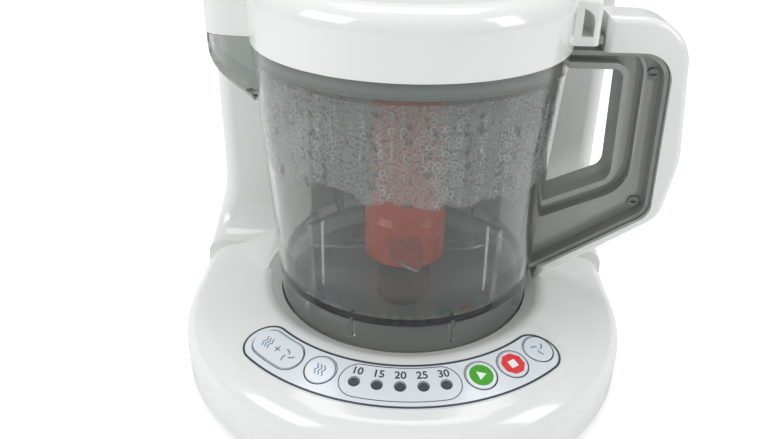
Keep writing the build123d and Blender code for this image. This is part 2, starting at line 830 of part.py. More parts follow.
with BuildPart() as well_seal:
    with BuildSketch(level(well_floor_z + 0.05)):
        Circle(11)
        Circle(spindle_d / 2 + 4.9, mode=Mode.SUBTRACT)
    extrude(amount=1.3)
well_seal.part.label = "well_seal"
export_step(well_seal.part, "parts/well_seal.step")

# ---------------------------------------------------------------- jug
jug_low = well_floor_z + slide_gap
foot_wall = 2.4
post_outer = 8.4
post_top = 108.0
bush_t = 2.0
blade_shaft_d = 6.0
wall_lean = (jug_top_r - jug_foot_r) / (band_z - deck_z)


def jug_radius(z):
    return jug_foot_r + (z - deck_z) * wall_lean


def spout_form(inset, top):
    # pouring lip: a pointed plan, cut below by a curve that swells out and up
    reach = spout_reach - inset
    half = spout_half - inset
    root = jug_foot_r - 2
    low_r = spout_root_r - inset
    low_z = spout_root_z + inset
    with BuildPart() as lip:
        with BuildSketch(level(spout_low + inset)):
            with BuildLine():
                upper = Spline((-jug_radius(rim_z) + 1, half), (-reach, 0), tangents=((-1, -0.12), (0, -1)))
                mirror(upper, about=Plane.XZ)
                Polyline((-jug_radius(rim_z) + 1, half), (-root, half), (-root, -half),
                         (-jug_radius(rim_z) + 1, -half))
            make_face()
        extrude(amount=top - spout_low - inset)
        with BuildSketch(front_section):
            with BuildLine():
                Spline((-reach, rim_z), (-low_r, low_z), tangents=((0, -1), (0.8, -0.65)))
                Polyline((-low_r, low_z), (-root, low_z - 0.8 * (low_r - root)),
                         (-root, top + 1), (-reach, top + 1), (-reach, rim_z))
            make_face()
        extrude(amount=2 * spout_half, both=True, mode=Mode.INTERSECT)
    return lip.part


def window_face(grow):
    # hole of the handle, in its own upright plane
    corners = [(64.0, 148.5), (90.0, 148.5), (91.5, 98.5), (61.5, 85.5)]
    with BuildSketch() as window:
        with BuildLine():
            Polyline(*corners, close=True)
        make_face()
        fillet(corner_at(window, corners[1]), 4)
        fillet(corner_at(window, corners[2]), 6)
        if grow:
            offset(amount=grow, kind=Kind.ARC)
    return window.sketch


def frame_face(shrink):
    # outline of the grey frame of the handle
    corners = [(64.0, 156.0), (109.5, 156.0), (112.0, 81.0), (58.5, 47.5)]
    with BuildSketch() as outline:
        with BuildLine():
            Polyline(*corners, close=True)
        make_face()
        fillet(corner_at(outline, corners[1]), 13)
        fillet(corner_at(outline, corners[2]), 9)
        if shrink:
            offset(amount=-shrink, kind=Kind.ARC)
    return outline.sketch


frame_inner_t = 2.6
frame_rib_t = 1.4
whole_window = window_face(0)
window_flange = window_face(frame_inner_t)
rib_outer = window_face(frame_inner_t + 8)
rib_inner = window_face(frame_inner_t + 8 - frame_rib_t)
whole_frame = frame_face(0)
frame_core = frame_face(2)
lip_outer = spout_form(0, rim_z)
lip_inner = spout_form(jug_wall, rim_z + 1)
weld_gap = 0.02
with BuildPart() as handle_frame:
    # thin web, a flange round the finger hole, a rib and an outer flange
    with BuildSketch(front_section):
        add(whole_frame)
    extrude(amount=1.5, both=True)
    with BuildSketch(front_section):
        add(whole_frame)
        add(frame_core, mode=Mode.SUBTRACT)
    extrude(amount=frame_half - 1, both=True)
    with BuildSketch(front_section):
        add(rib_outer)
        add(rib_inner, mode=Mode.SUBTRACT)
    extrude(amount=frame_half - 2.5, both=True)
    with BuildSketch(front_section):
        add(whole_frame)
    extrude(amount=frame_half, both=True, mode=Mode.INTERSECT)
    with BuildSketch(front_section):
        add(window_flange)
    extrude(amount=frame_half, both=True)
    with BuildSketch(front_section):
        add(whole_window)
    extrude(amount=20, both=True, mode=Mode.SUBTRACT)
    # its edge follows the bowl, where it is welded on
    with BuildSketch(front_section):
        with BuildLine():
            Polyline((0, 0), (jug_foot_r + weld_gap, 0), (jug_foot_r + weld_gap, deck_z),
                     (jug_top_r + weld_gap, band_z), (band_r + weld_gap, band_z),
                     (band_r + weld_gap, tower_top), (0, tower_top), close=True)
        make_face()
    revolve(axis=spin_axis, mode=Mode.SUBTRACT)
handle_frame.part.label = "handle_frame"
export_step(handle_frame.part, "parts/handle_frame.step")

with BuildPart() as jug_bowl:
    add(lip_outer)
    with BuildSketch(front_section):
        with BuildLine():
            Polyline((0, jug_low), (jug_foot_r - 0.4, jug_low),
                     (jug_foot_r, jug_low + 0.6), (jug_foot_r, deck_z),
                     (jug_top_r, band_z), (band_r, band_z), (band_r, rim_z), (0, rim_z), close=True)
        make_face()
    revolve(axis=spin_axis)
    # hollow inside
    with BuildSketch(front_section):
        with BuildLine():
            Polyline((0, jug_floor_z), (jug_radius(jug_floor_z) - jug_wall - 3, jug_floor_z),
                     (jug_radius(jug_floor_z) - jug_wall, jug_floor_z + 3),
                     (jug_top_r - jug_wall, band_z), (jug_top_r - jug_wall, rim_z + 1), (0, rim_z + 1),
                     close=True)
        make_face()
    revolve(axis=spin_axis, mode=Mode.SUBTRACT)
    add(lip_inner, mode=Mode.SUBTRACT)
    # hollow skirt below the floor
    with BuildSketch(level(jug_low - 1)):
        Circle(jug_foot_r - foot_wall)
    extrude(amount=jug_floor_z - floor_t - jug_low + 1, mode=Mode.SUBTRACT)
    # centre post with a bore for the blade shaft
    with BuildSketch(level(jug_floor_z - floor_t - 1)):
        Circle(post_outer)
    extrude(amount=post_top - jug_floor_z + floor_t + 1)
    with BuildSketch(level(jug_low)):
        Circle(blade_shaft_d / 2 + bush_t + 0.02)
    extrude(amount=post_top, mode=Mode.SUBTRACT)
    # four upright ribs inside the wall
    with BuildSketch(level(jug_floor_z - 1)):
        for angle in (-40, 40, 140, -140):
            with Locations(around(jug_radius(jug_floor_z) - jug_wall - 1, angle)):
                Rectangle(3, 6, rotation=angle)
    extrude(amount=40)
    # ribs that centre the skirt in the well
    with BuildSketch(level(jug_low + 12)):
        with PolarLocations(jug_foot_r - foot_wall - 1, 8, start_angle=22.5):
            Rectangle(4, 1.6)
    extrude(amount=jug_floor_z - floor_t - jug_low - 12)
jug_bowl.part.label = "jug_bowl"
export_step(jug_bowl.part, "parts/jug_bowl.step")


cover_start = 80.3  # clear of the lid's ear


def cover_face(shrink):
    # outline of the white outer part of the handle; shrink leaves its moulded wall
    corners = [(cover_start, 171.0), (114.5, 170.0), (handle_reach + 0.6, 108.0), (117.0, 79.5), (62.5, 43.4),
               (cover_start, 130.0)]
    with BuildSketch() as outline:
        with BuildLine():
            Polyline(*corners, close=True)
        make_face()
        fillet(corner_at(outline, corners[1]), 22)
        fillet(corner_at(outline, corners[2]), 40)
        fillet(corner_at(outline, corners[3]), 12)
        if shrink:
            offset(amount=-shrink, kind=Kind.ARC)
    return outline.sketch


cover_outline = cover_face(0)
cover_hollow = cover_face(2.4)
frame_seat = frame_face(-skin_gap)


def on_cover_outline(edge):
    # edges of the handle cover's two side faces that follow its outer outline
    middle = front_section.to_local_coords(edge @ 0.5)
    along = cover_outline.wire().distance_to(Vertex(middle.X, middle.Y, 0)) < 0.01
    return along and abs(abs(middle.Z) - handle_half) < 0.01


with BuildPart() as handle_cover:
    with BuildSketch(front_section):
        add(cover_outline)
        add(frame_seat, mode=Mode.SUBTRACT)
    extrude(amount=handle_half, both=True)
    fillet(handle_cover.edges().filter_by(on_cover_outline), 3.2)
    with BuildSketch(front_section):
        add(cover_hollow)
        add(frame_seat, mode=Mode.SUBTRACT)
    extrude(amount=handle_half - 2.4, both=True, mode=Mode.SUBTRACT)
    # stays clear of the bowl
    with BuildSketch(level(0)):
        Circle(jug_radius(60) + slide_gap)
    extrude(amount=80, mode=Mode.SUBTRACT)
handle_cover.part.label = "handle_cover"
export_step(handle_cover.part, "parts/handle_cover.step")

handle_screw_places = [(104.2, 145.0), (106.0, 84.0)]
with BuildPart() as handle_screws:
    # two pins through the frame's web, under the white cover
    with BuildSketch(front_section.offset(1.55)):
        with Locations(*handle_screw_places):
            Circle(2.6)
    extrude(amount=1.6)
    with BuildSketch(front_section.offset(1.55)):
        with Locations(*handle_screw_places):
            Circle(0.8)
            Rectangle(3.6, 0.6)
    extrude(amount=1.6, mode=Mode.SUBTRACT)
handle_screws.part.label = "handle_screws"
export_step(handle_screws.part, "parts/handle_screws.step")

# ---------------------------------------------------------------- blade and its shaft
bush_len = 8.0
blade_shaft_low = spindle_high + 2.6
blade_shaft_high = post_top + 14
with BuildPart() as jug_bushes:
    for z in (jug_floor_z - floor_t + 0.5, post_top - bush_len - 0.5):
        with BuildSketch(level(z)):
            Circle(blade_shaft_d / 2 + bush_t)
            Circle(blade_shaft_d / 2 + run_gap, mode=Mode.SUBTRACT)
        extrude(amount=bush_len)
jug_bushes.part.label = "jug_bushes"
export_step(jug_bushes.part, "parts/jug_bushes.step")

with BuildPart() as blade_shaft:
    with BuildSketch(level(blade_shaft_low)):
        Circle(blade_shaft_d / 2)
    extrude(amount=blade_shaft_high - blade_shaft_low)
    chamfer(blade_shaft.edges(), 0.3)
blade_shaft.part.label = "blade_shaft"
export_step(blade_shaft.part, "parts/blade_shaft.step")

socket_low = coupling_low + 4.5
with BuildPart() as jug_coupling:
    with BuildSketch(level(socket_low)):
        Circle(hex_flats / 2 + 4.5)
    extrude(amount=jug_floor_z - floor_t - 1.5 - socket_low)
    fillet(jug_coupling.edges().group_by(Axis.Z)[-1], 1.5)
    with BuildSketch(level(socket_low)):
        RegularPolygon(hex_flats / 2 + hex_gap, 6, major_radius=False)
    extrude(amount=spindle_high + 2.5 - socket_low, mode=Mode.SUBTRACT)
    with BuildSketch(level(0)):
        Circle(blade_shaft_d / 2 + 0.02)
    extrude(amount=tower_top, mode=Mode.SUBTRACT)
jug_coupling.part.label = "jug_coupling"
export_step(jug_coupling.part, "parts/jug_coupling.step")

stem_r = 17.3
stem_low = jug_floor_z + 3.0
stem_top = 144.0
blade_levels = [(stem_low + 3.0, 0), (stem_low + 14.0, 90)]
blade_t = 1.2
blade_reach = 46.0
with BuildPart() as blade_stem:
    with BuildSketch(front_section):
        with BuildLine():
            Polyline((0, stem_low), (stem_r + 2.0, stem_low),
                     (stem_r + 2.0, stem_low + 20), (stem_r, stem_low + 23),
                     (stem_r - 1.0, stem_top), (0, stem_top), close=True)
        make_face()
    revolve(axis=spin_axis)
    fillet(blade_stem.edges().group_by(Axis.Z)[-1], 5)
    # hollow over the jug's post
    with BuildSketch(level(stem_low - 1)):
        Circle(post_outer + 1.5)
    extrude(amount=post_top + 2 - stem_low + 1, mode=Mode.SUBTRACT)
    with BuildSketch(level(post_top)):
        Circle(blade_shaft_d / 2 + 0.02)
    extrude(amount=14.2, mode=Mode.SUBTRACT)
    # finger scallops in the sides
    with BuildSketch(level(stem_low + 32)):
        with PolarLocations(stem_r + 5.5, 6):
            Circle(7)
    extrude(amount=stem_top, mode=Mode.SUBTRACT)
    # slots that hold the blades
    for z, turn in blade_levels:
        with BuildSketch(level(z)):
            Rectangle(60, 14.3, rotation=turn)
            Circle(post_outer + 5.3)
            Circle(post_outer + 3.5, mode=Mode.SUBTRACT)
        extrude(amount=blade_t + 0.1, mode=Mode.SUBTRACT)
blade_stem.part.label = "blade_stem"
export_step(blade_stem.part, "parts/blade_stem.step")


def blade_outline():
    # two curved arms on a ring, each with its sharp edge ahead
    with BuildSketch() as outline:
        for turn in (0, 180):
            with BuildSketch(Plane.XY.rotated((0, 0, turn)), mode=Mode.PRIVATE) as arm:
                with BuildLine():
                    Line((0, -7), (20, -7))
                    ThreePointArc((20, -7), (36, -4), (blade_reach, 6))
                    ThreePointArc((blade_reach, 6), (34, 8.5), (20, 7))
                    Line((20, 7), (0, 7))
                    Line((0, 7), (0, -7))
                make_face()
            add(arm.sketch)
        Circle(post_outer + 5.2)
        Circle(post_outer + 3.6, mode=Mode.SUBTRACT)
    return outline.sketch


blade_shape = blade_outline()
with BuildPart() as blades:
    for z, turn in blade_levels:
        with BuildSketch(Plane((jug_x, jug_y, z + 0.05)).rotated((0, 0, turn))):
            add(blade_shape)
        extrude(amount=blade_t)
blades.part.label = "blades"
export_step(blades.part, "parts/blades.step")

# ---------------------------------------------------------------- lid
lid_low = rim_z + slide_gap
plug_r = jug_top_r - jug_wall - 0.8
plug_low = 151.0
ear_in = 69.6
ear_out = 77.6
ear_half = 12.0
latch_z = lid_low + 0.2
lid_shoulder = 9.0


def on_lid_outside(edge):
    # edges that lie beyond the lid's round wall
    middle = edge @ 0.5
    return middle.X - jug_x > lid_r - 3


with BuildPart() as lid_lip:
    # covers the pouring lip
    with BuildSketch(level(lid_low)):
        with BuildLine():
            upper = Spline((-lid_r + 2, spout_half + 0.6), (-spout_reach, 0), tangents=((-1, -0.12), (0, -1)))
            mirror(upper, about=Plane.XZ)
            Line((-lid_r + 2, spout_half + 0.6), (-lid_r + 2, -spout_half - 0.6))
        make_face()
    extrude(amount=lid_top - lid_low - 7)
with BuildPart() as lid_ear:
    # stands beside the handle
    with BuildSketch(level(lid_low)):
        with Locations(((lid_r - 6 + ear_out) / 2, 0)):
            Rectangle(ear_out - lid_r + 6, 2 * ear_half)
    extrude(amount=lid_top - lid_low - 7)
    fillet(lid_ear.edges().filter_by(Axis.Z).group_by(Axis.X)[-1], 3)
    fillet(lid_ear.edges().group_by(Axis.Z)[-1].filter_by(on_lid_outside), 2.5)
with BuildPart() as lid_form:
    with BuildSketch(front_section) as lid_profile:
        with BuildLine():
            Polyline((0, lid_low), (lid_r, lid_low), (lid_r, lid_top - 0.6), (0, lid_top), close=True)
        make_face()
        fillet(corner_at(lid_profile, (lid_r, lid_top - 0.6)), lid_shoulder)
    revolve(axis=spin_axis)
    add(lid_lip.part)
    add(lid_ear.part)
    # arched finger hole between the wall and the ear
    with BuildSketch(front_section):
        with BuildLine():
            Line((ear_in, latch_z + 3.6), (ear_in + 4.8, latch_z + 3.6))
            Line((ear_in + 4.8, latch_z + 3.6), (ear_in + 4.8, latch_z + 9))
            Spline((ear_in + 4.8, latch_z + 9), (ear_in, latch_z + 15), tangents=((0, 1), (-1, 0.4)))
            Line((ear_in, latch_z + 15), (ear_in, latch_z + 3.6))
        make_face()
    extrude(amount=40, both=True, mode=Mode.SUBTRACT)
with BuildPart() as lid_shell:
    add(lid_form.part)
    with BuildSketch(front_section):
        with BuildLine():
            Polyline((0, lid_low - 1), (lid_r - lid_wall, lid_low - 1), (lid_r - lid_wall, lid_top - 9),
                     (lid_r - 9, lid_top - lid_wall), (0, lid_top - lid_wall), close=True)
        make_face()
    revolve(axis=spin_axis, mode=Mode.SUBTRACT)
    # round dish in the middle of the top, with a hole for the cap
    with BuildSketch(front_section):
        with BuildLine():
            Polyline((0, lid_top + 1), (0, lid_top - 1.2), (22, lid_top - 1.2), (25, lid_top + 1), close=True)
        make_face()
    revolve(axis=spin_axis, mode=Mode.SUBTRACT)
    with BuildSketch(level(lid_top - 6)):
        Circle(9)
    extrude(amount=10, mode=Mode.SUBTRACT)
    # steam port at the back
    with BuildSketch(front_section.offset(-lid_r + 6)):
        with Locations((0, nozzle_z)):
            Circle(5)
    extrude(amount=-12, mode=Mode.SUBTRACT)
lid_shell.part.label = "lid_shell"
export_step(lid_shell.part, "parts/lid_shell.step")

with BuildPart() as lid_plug:
    # inner plate with a rim that drops into the jug
    with BuildSketch(front_section):
        with BuildLine():
            Polyline((0, rim_z + 2.2), (plug_r - 6, rim_z + 2.2), (plug_r - 2, plug_low), (plug_r, plug_low),
                     (plug_r, plug_low + 2.4), (plug_r - 1.6, plug_low + 2.4), (plug_r - 1.6, plug_low + 5.6),
                     (plug_r, plug_low + 5.6), (plug_r, rim_z + 4.2), (0, rim_z + 4.2), close=True)
        make_face()
    revolve(axis=spin_axis)
    # ring that joins it to the shell
    with BuildSketch(level(rim_z + 1.2)):
        Circle(lid_r - lid_wall - 0.1)
        Circle(plug_r - 3, mode=Mode.SUBTRACT)
    extrude(amount=3)
    # steam holes near the back
    with BuildSketch(level(rim_z)):
        with PolarLocations(52, 7, start_angle=60, angular_range=60):
            Circle(2)
    extrude(amount=10, mode=Mode.SUBTRACT)
lid_plug.part.label = "lid_plug"
export_step(lid_plug.part, "parts/lid_plug.step")

with BuildPart() as lid_gasket:
    with BuildSketch(level(plug_low + 2.5)):
        Circle(jug_top_r - jug_wall - slide_gap)
        Circle(plug_r - 1.5, mode=Mode.SUBTRACT)
    extrude(amount=3)
lid_gasket.part.label = "lid_gasket"
export_step(lid_gasket.part, "parts/lid_gasket.step")

with BuildPart() as lid_cap:
    # plug of the filling hole, with a grip bar
    with BuildSketch(level(lid_top - 1.1)):
        Circle(14)
    extrude(amount=1.6)
    with BuildSketch(level(lid_top + 0.5)):
        SlotOverall(22, 4)
    extrude(amount=4.5)
    fillet(lid_cap.edges().group_by(Axis.Z)[-1], 1.2)
    with BuildSketch(level(lid_top - 7)):
        Circle(9 - slide_gap)
        Circle(7, mode=Mode.SUBTRACT)
    extrude(amount=6)
lid_cap.part.label = "lid_cap"
export_step(lid_cap.part, "parts/lid_cap.step")

with BuildPart() as lid_latch:
    # smoky tip that slides out of the ear's foot, over the handle
    with BuildSketch(level(latch_z)):
        with Locations((ear_out + 1.05, 0)):
            Rectangle(1.9, 2 * ear_half - 6)
    extrude(amount=3.2)
lid_latch.part.label = "lid_latch"
export_step(lid_latch.part, "parts/lid_latch.step")

# ---------------------------------------------------------------- water tank
tank_outer = tank_plan(0)
tank_inner = tank_plan(tank_wall)
seat_z = tank_low - 3.0
with BuildPart() as water_tank:
    with BuildSketch(level(tank_low)):
        add(tank_outer)
    extrude(amount=tank_rim_z - tank_low)
    with BuildSketch(level(tank_low + tank_wall)):
        add(tank_inner)
    extrude(amount=tower_top, mode=Mode.SUBTRACT)
    with BuildSketch(level(tank_low - 8)):
        with Locations((valve_x, valve_y)):
            Circle(7)
    extrude(amount=9)
    with BuildSketch(level(tank_low - 9)):
        with Locations((valve_x, valve_y)):
            Circle(5)
    extrude(amount=20, mode=Mode.SUBTRACT)
    # hinge ears at the back of the rim
    hinge_y = tank_back - 3.2
    hinge_z = tank_rim_z + 1.6
    hinge_x = (tank_left + tank_right) / 2
    for x in (hinge_x - 20, hinge_x + 20):
        with BuildSketch(side_section.offset(x - 1.5)):
            with Locations((hinge_y, hinge_z)):
                Circle(1.8)
            with Locations((hinge_y, hinge_z - 2)):
                Rectangle(3.6, 4)
        extrude(amount=3)
    with BuildSketch(side_section.offset(hinge_x - 30)):
        with Locations((hinge_y, hinge_z)):
            Circle(0.9)
    extrude(amount=60, mode=Mode.SUBTRACT)
water_tank.part.label = "water_tank"
export_step(water_tank.part, "parts/water_tank.step")

with BuildPart() as tank_hinge_pin:
    with BuildSketch(side_section.offset(hinge_x - 21.4)):
        with Locations((hinge_y, hinge_z)):
            Circle(0.9 - run_gap)
    extrude(amount=42.8)
tank_hinge_pin.part.label = "tank_hinge_pin"
export_step(tank_hinge_pin.part, "parts/tank_hinge_pin.step")

with BuildPart() as tank_valve:
    with BuildSketch(level(tank_low - 9.5)):
        with Locations((valve_x, valve_y)):
            Circle(2.2)
    extrude(amount=12.3)
    with BuildSketch(level(tank_low + tank_wall + 0.3)):
        with Locations((valve_x, valve_y)):
            Circle(7)
    extrude(amount=1.6)
    with BuildSketch(level(tank_low - 6)):
        with Locations((valve_x, valve_y)):
            Circle(4.6)
            with PolarLocations(4.2, 4):
                Circle(1.4, mode=Mode.SUBTRACT)
    extrude(amount=4)
tank_valve.part.label = "tank_valve"
export_step(tank_valve.part, "parts/tank_valve.step")

with BuildPart() as tank_shelf:
    # shelf in the tower that the tank stands on, with a cup for its valve
    with BuildSketch(level(seat_z)):
        with BuildLine():
            left = -tower_half + shell_t + slide_gap
            back = rear_y - shell_t - 3
            Polyline((left, 62), (left, 86), (-66, back), (-16, back), (-16, bay_r + 8), (-60, 62), close=True)
        make_face()
        Circle(tank_bay_r - 0.6, mode=Mode.SUBTRACT)
    extrude(amount=2.6)
    with BuildSketch(level(seat_z - 12)):
        with Locations((valve_x, valve_y)):
            Circle(10)
    extrude(amount=13)
    with BuildSketch(level(seat_z - 10)):
        with Locations((valve_x, valve_y)):
            Circle(8)
    extrude(amount=20, mode=Mode.SUBTRACT)
    with BuildSketch(level(seat_z - 13)):
        with Locations((valve_x, valve_y)):
            Circle(2.5)
    extrude(amount=20, mode=Mode.SUBTRACT)
tank_shelf.part.label = "tank_shelf"
export_step(tank_shelf.part, "parts/tank_shelf.step")

lid_plan_shape = tank_plan(0.5)
with BuildPart() as tank_lid:
    with BuildSketch(level(tank_rim_z + slide_gap)):
        add(lid_plan_shape)
    extrude(amount=2.6)
    fillet(tank_lid.edges().group_by(Axis.Z)[-1], 0.8)
    # room for the ears, and the lid's own knuckle between them
    with BuildSketch(level(tank_rim_z)):
        with Locations((hinge_x, hinge_y + 1.5)):
            Rectangle(60, 7.4)
    extrude(amount=10, mode=Mode.SUBTRACT)
    with BuildSketch(side_section.offset(hinge_x - 16)):
        with Locations((hinge_y, hinge_z)):
            Circle(1.6)
        with Locations((hinge_y - 1.6, hinge_z + 0.2)):
            Rectangle(3.4, 2.0)
        with Locations((hinge_y, hinge_z)):
            Circle(0.9 + run_gap, mode=Mode.SUBTRACT)
    extrude(amount=32)
tank_lid.part.label = "tank_lid"
export_step(tank_lid.part, "parts/tank_lid.step")

# ---------------------------------------------------------------- boiler and steam path
with BuildPart() as boiler:
    with BuildSketch(level(boiler_low)):
        with Locations((valve_x, valve_y)):
            Circle(boiler_r)
    extrude(amount=boiler_high - boiler_low)
    fillet(boiler.edges(), 4)
    with BuildSketch(level(boiler_high - 1)):
        with Locations((valve_x, valve_y), (valve_x + 14, valve_y)):
            Circle(3)
    extrude(amount=6)
boiler.part.label = "boiler"
export_step(boiler.part, "parts/boiler.step")

with BuildPart() as boiler_stand:
    with BuildSketch(level(pan_z + pan_t)):
        with Locations((valve_x, valve_y)):
            with PolarLocations(17, 3, start_angle=30):
                Circle(3.5)
    extrude(amount=boiler_low - pan_z - pan_t - 3)
    with BuildSketch(level(boiler_low - 3)):
        with Locations((valve_x, valve_y)):
            Circle(boiler_r - 2)
            Circle(12, mode=Mode.SUBTRACT)
    extrude(amount=3)
boiler_stand.part.label = "boiler_stand"
export_step(boiler_stand.part, "parts/boiler_stand.step")

with BuildPart() as thermostat:
    with BuildSketch(level(boiler_low - 7)):
        with Locations((valve_x, valve_y)):
            Circle(8)
    extrude(amount=7)
    with BuildSketch(level(boiler_low - 7)):
        with Locations((valve_x - 4, valve_y), (valve_x + 4, valve_y)):
            Rectangle(0.8, 5)
    extrude(amount=-7)
thermostat.part.label = "thermostat"
export_step(thermostat.part, "parts/thermostat.step")

hose_r = 2.6
with BuildPart() as water_hose:
    with BuildSketch(level(boiler_high + 5.1)):
        with Locations((valve_x, valve_y)):
            Circle(hose_r)
            Circle(hose_r - 1, mode=Mode.SUBTRACT)
    extrude(amount=seat_z - 12 - boiler_high - 5.3)
water_hose.part.label = "water_hose"
export_step(water_hose.part, "parts/water_hose.step")

steam_x = valve_x + 14
steam_foot = boiler_high + 5.1
nozzle_back = bay_r + shell_t + 16
nozzle_lip = 1.4  # from the bay wall to the back of the nozzle's flange
hose_end = nozzle_back - 6
with BuildPart() as steam_hose:
    with BuildLine() as steam_route:
        FilletPolyline(
            (jug_x + steam_x, jug_y + valve_y, steam_foot),
            (jug_x + steam_x, jug_y + valve_y, steam_foot + 11),
            (jug_x - 9, jug_y + nozzle_back + 6, steam_foot + 13),
            (jug_x - 8, jug_y + nozzle_back + 6, nozzle_z - 20),
            (jug_x, jug_y + nozzle_back + 5, nozzle_z),
            (jug_x, jug_y + hose_end, nozzle_z),
            radius=5,
        )
    with BuildSketch(Plane((jug_x + steam_x, jug_y + valve_y, steam_foot))):
        Circle(hose_r)
        Circle(hose_r - 1, mode=Mode.SUBTRACT)
    sweep(path=steam_route.wires()[0])
steam_hose.part.label = "steam_hose"
export_step(steam_hose.part, "parts/steam_hose.step")

with BuildPart() as steam_nozzle:
    with BuildSketch(front_section.offset(-bay_r + nozzle_lip)):
        with Locations((0, nozzle_z)):
            Circle(8)
            Circle(2.2, mode=Mode.SUBTRACT)
    extrude(amount=2.2)
    with BuildSketch(front_section.offset(-bay_r + nozzle_lip)):
        with Locations((0, nozzle_z)):
            Circle(5.2)
            Circle(2.2, mode=Mode.SUBTRACT)
    extrude(amount=-(hose_end - bay_r + nozzle_lip))  # as far as the hose
steam_nozzle.part.label = "steam_nozzle"
export_step(steam_nozzle.part, "parts/steam_nozzle.step")

# ---------------------------------------------------------------- electrics
with BuildPart() as power_board:
    with BuildSketch(front_section.offset(-rear_y + 20)):
        with Locations((6, 40)):
            Rectangle(44, 30)
    extrude(amount=-1.6)
    with BuildSketch(front_section.offset(-rear_y + 18.4)):
        with Locations((-6, 40)):
            Rectangle(14, 18)
        with Locations((14, 44)):
            Circle(6)
    extrude(amount=-10)
power_board.part.label = "power_board"
export_step(power_board.part, "parts/power_board.step")

with BuildPart() as board_bracket:
    with BuildSketch(level(pan_z + pan_t)):
        with Locations((6, rear_y - 21.2)):
            Rectangle(40, 2)
    extrude(amount=40 - 15 - pan_z - pan_t + 6)
    with BuildSketch(level(pan_z + pan_t)):
        with Locations((6, rear_y - 24)):
            Rectangle(40, 7.6)
    extrude(amount=2)
board_bracket.part.label = "board_bracket"
export_step(board_bracket.part, "parts/board_bracket.step")

with BuildPart() as jug_switch:
    # small switch beside the well that the jug's foot works
    with BuildSketch(level(pan_z + pan_t)):
        with Locations((-46, 20)):
            Rectangle(6, 13)
    extrude(amount=11)
    with BuildSketch(level(pan_z + pan_t + 11)):
        with Locations((-46, 17)):
            Rectangle(3, 2.4)
    extrude(amount=1.4)
jug_switch.part.label = "jug_switch"
export_step(jug_switch.part, "parts/jug_switch.step")
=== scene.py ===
import math

import bpy
import numpy as np
from mathutils import Matrix, Vector


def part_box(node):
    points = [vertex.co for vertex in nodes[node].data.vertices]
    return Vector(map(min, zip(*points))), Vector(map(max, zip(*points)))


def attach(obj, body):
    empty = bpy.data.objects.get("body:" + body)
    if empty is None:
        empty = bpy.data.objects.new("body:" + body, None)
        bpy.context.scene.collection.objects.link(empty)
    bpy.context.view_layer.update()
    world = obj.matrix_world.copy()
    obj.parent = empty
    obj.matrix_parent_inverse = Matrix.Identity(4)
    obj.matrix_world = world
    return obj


# Baby food maker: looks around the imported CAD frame. Metres, +Z up, +X to the user's right, +Y to the back.
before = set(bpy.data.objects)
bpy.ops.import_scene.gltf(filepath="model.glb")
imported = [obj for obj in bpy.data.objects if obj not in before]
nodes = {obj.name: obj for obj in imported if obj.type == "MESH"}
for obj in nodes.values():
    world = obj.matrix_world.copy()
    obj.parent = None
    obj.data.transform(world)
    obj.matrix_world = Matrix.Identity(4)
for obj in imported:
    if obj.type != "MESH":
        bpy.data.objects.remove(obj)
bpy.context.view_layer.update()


def mm(value):
    return value / 1000.0


# places that everything else is set from
spindleLow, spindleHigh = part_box("drive_spindle")
panelLow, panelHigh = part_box("control_panel")
jugX = (spindleLow[0] + spindleHigh[0]) / 2
jugY = (spindleLow[1] + spindleHigh[1]) / 2


def linear(hexColour):
    # sRGB hex to linear RGBA
    parts = [int(hexColour[i:i + 2], 16) / 255.0 for i in (0, 2, 4)]
    return [p / 12.92 if p <= 0.04045 else ((p + 0.055) / 1.055) ** 2.4 for p in parts] + [1.0]


def addNode(tree, kind, inputs=None, **settings):
    # one node with its settings; an input is a number, a colour or another node's socket
    node = tree.nodes.new(kind)
    for name, value in settings.items():
        setattr(node, name, value)
    for name, value in (inputs or {}).items():
        if isinstance(value, bpy.types.NodeSocket):
            tree.links.new(value, node.inputs[name])
        else:
            node.inputs[name].default_value = value
    return node


def newMaterial(name):
    material = bpy.data.materials.new(name)
    material.use_nodes = True
    return material, material.node_tree, material.node_tree.nodes["Principled BSDF"]


def objectCoords(tree):
    return addNode(tree, "ShaderNodeTexCoord").outputs["Object"]


def setBump(tree, shader, height, distance, strength=0.4):
    bump = addNode(tree, "ShaderNodeBump", {"Height": height, "Distance": distance, "Strength": strength})
    tree.links.new(bump.outputs["Normal"], shader.inputs["Normal"])


def mouldedPlastic(name, colour, roughness, grain=0.6, grainDepth=0.02, coat=0.0, variation=0.02):
    # injection moulded plastic: faint mould texture, a little unevenness of gloss from handling
    material, tree, shader = newMaterial(name)
    coords = objectCoords(tree)
    fine = addNode(tree, "ShaderNodeTexNoise", {"Vector": coords, "Scale": 1000.0 / grain, "Detail": 3.0})
    cloud = addNode(tree, "ShaderNodeTexNoise", {"Vector": coords, "Scale": 22.0, "Detail": 4.0})
    base = linear(colour)
    darker = [c * (1 - variation) for c in base[:3]] + [1.0]
    mix = addNode(tree, "ShaderNodeMix", {"Factor": cloud.outputs["Fac"]}, data_type="RGBA")
    mix.inputs["A"].default_value = base
    mix.inputs["B"].default_value = darker
    tree.links.new(mix.outputs["Result"], shader.inputs["Base Color"])
    rough = addNode(tree, "ShaderNodeMapRange", {"Value": cloud.outputs["Fac"], "From Min": 0.3, "From Max": 0.7,
                                                 "To Min": roughness * 0.85, "To Max": roughness * 1.2})
    tree.links.new(rough.outputs["Result"], shader.inputs["Roughness"])
    setBump(tree, shader, fine.outputs["Fac"], mm(grainDepth), 0.25)
    if coat:
        shader.inputs["Coat Weight"].default_value = coat
        shader.inputs["Coat Roughness"].default_value = 0.05
    return material


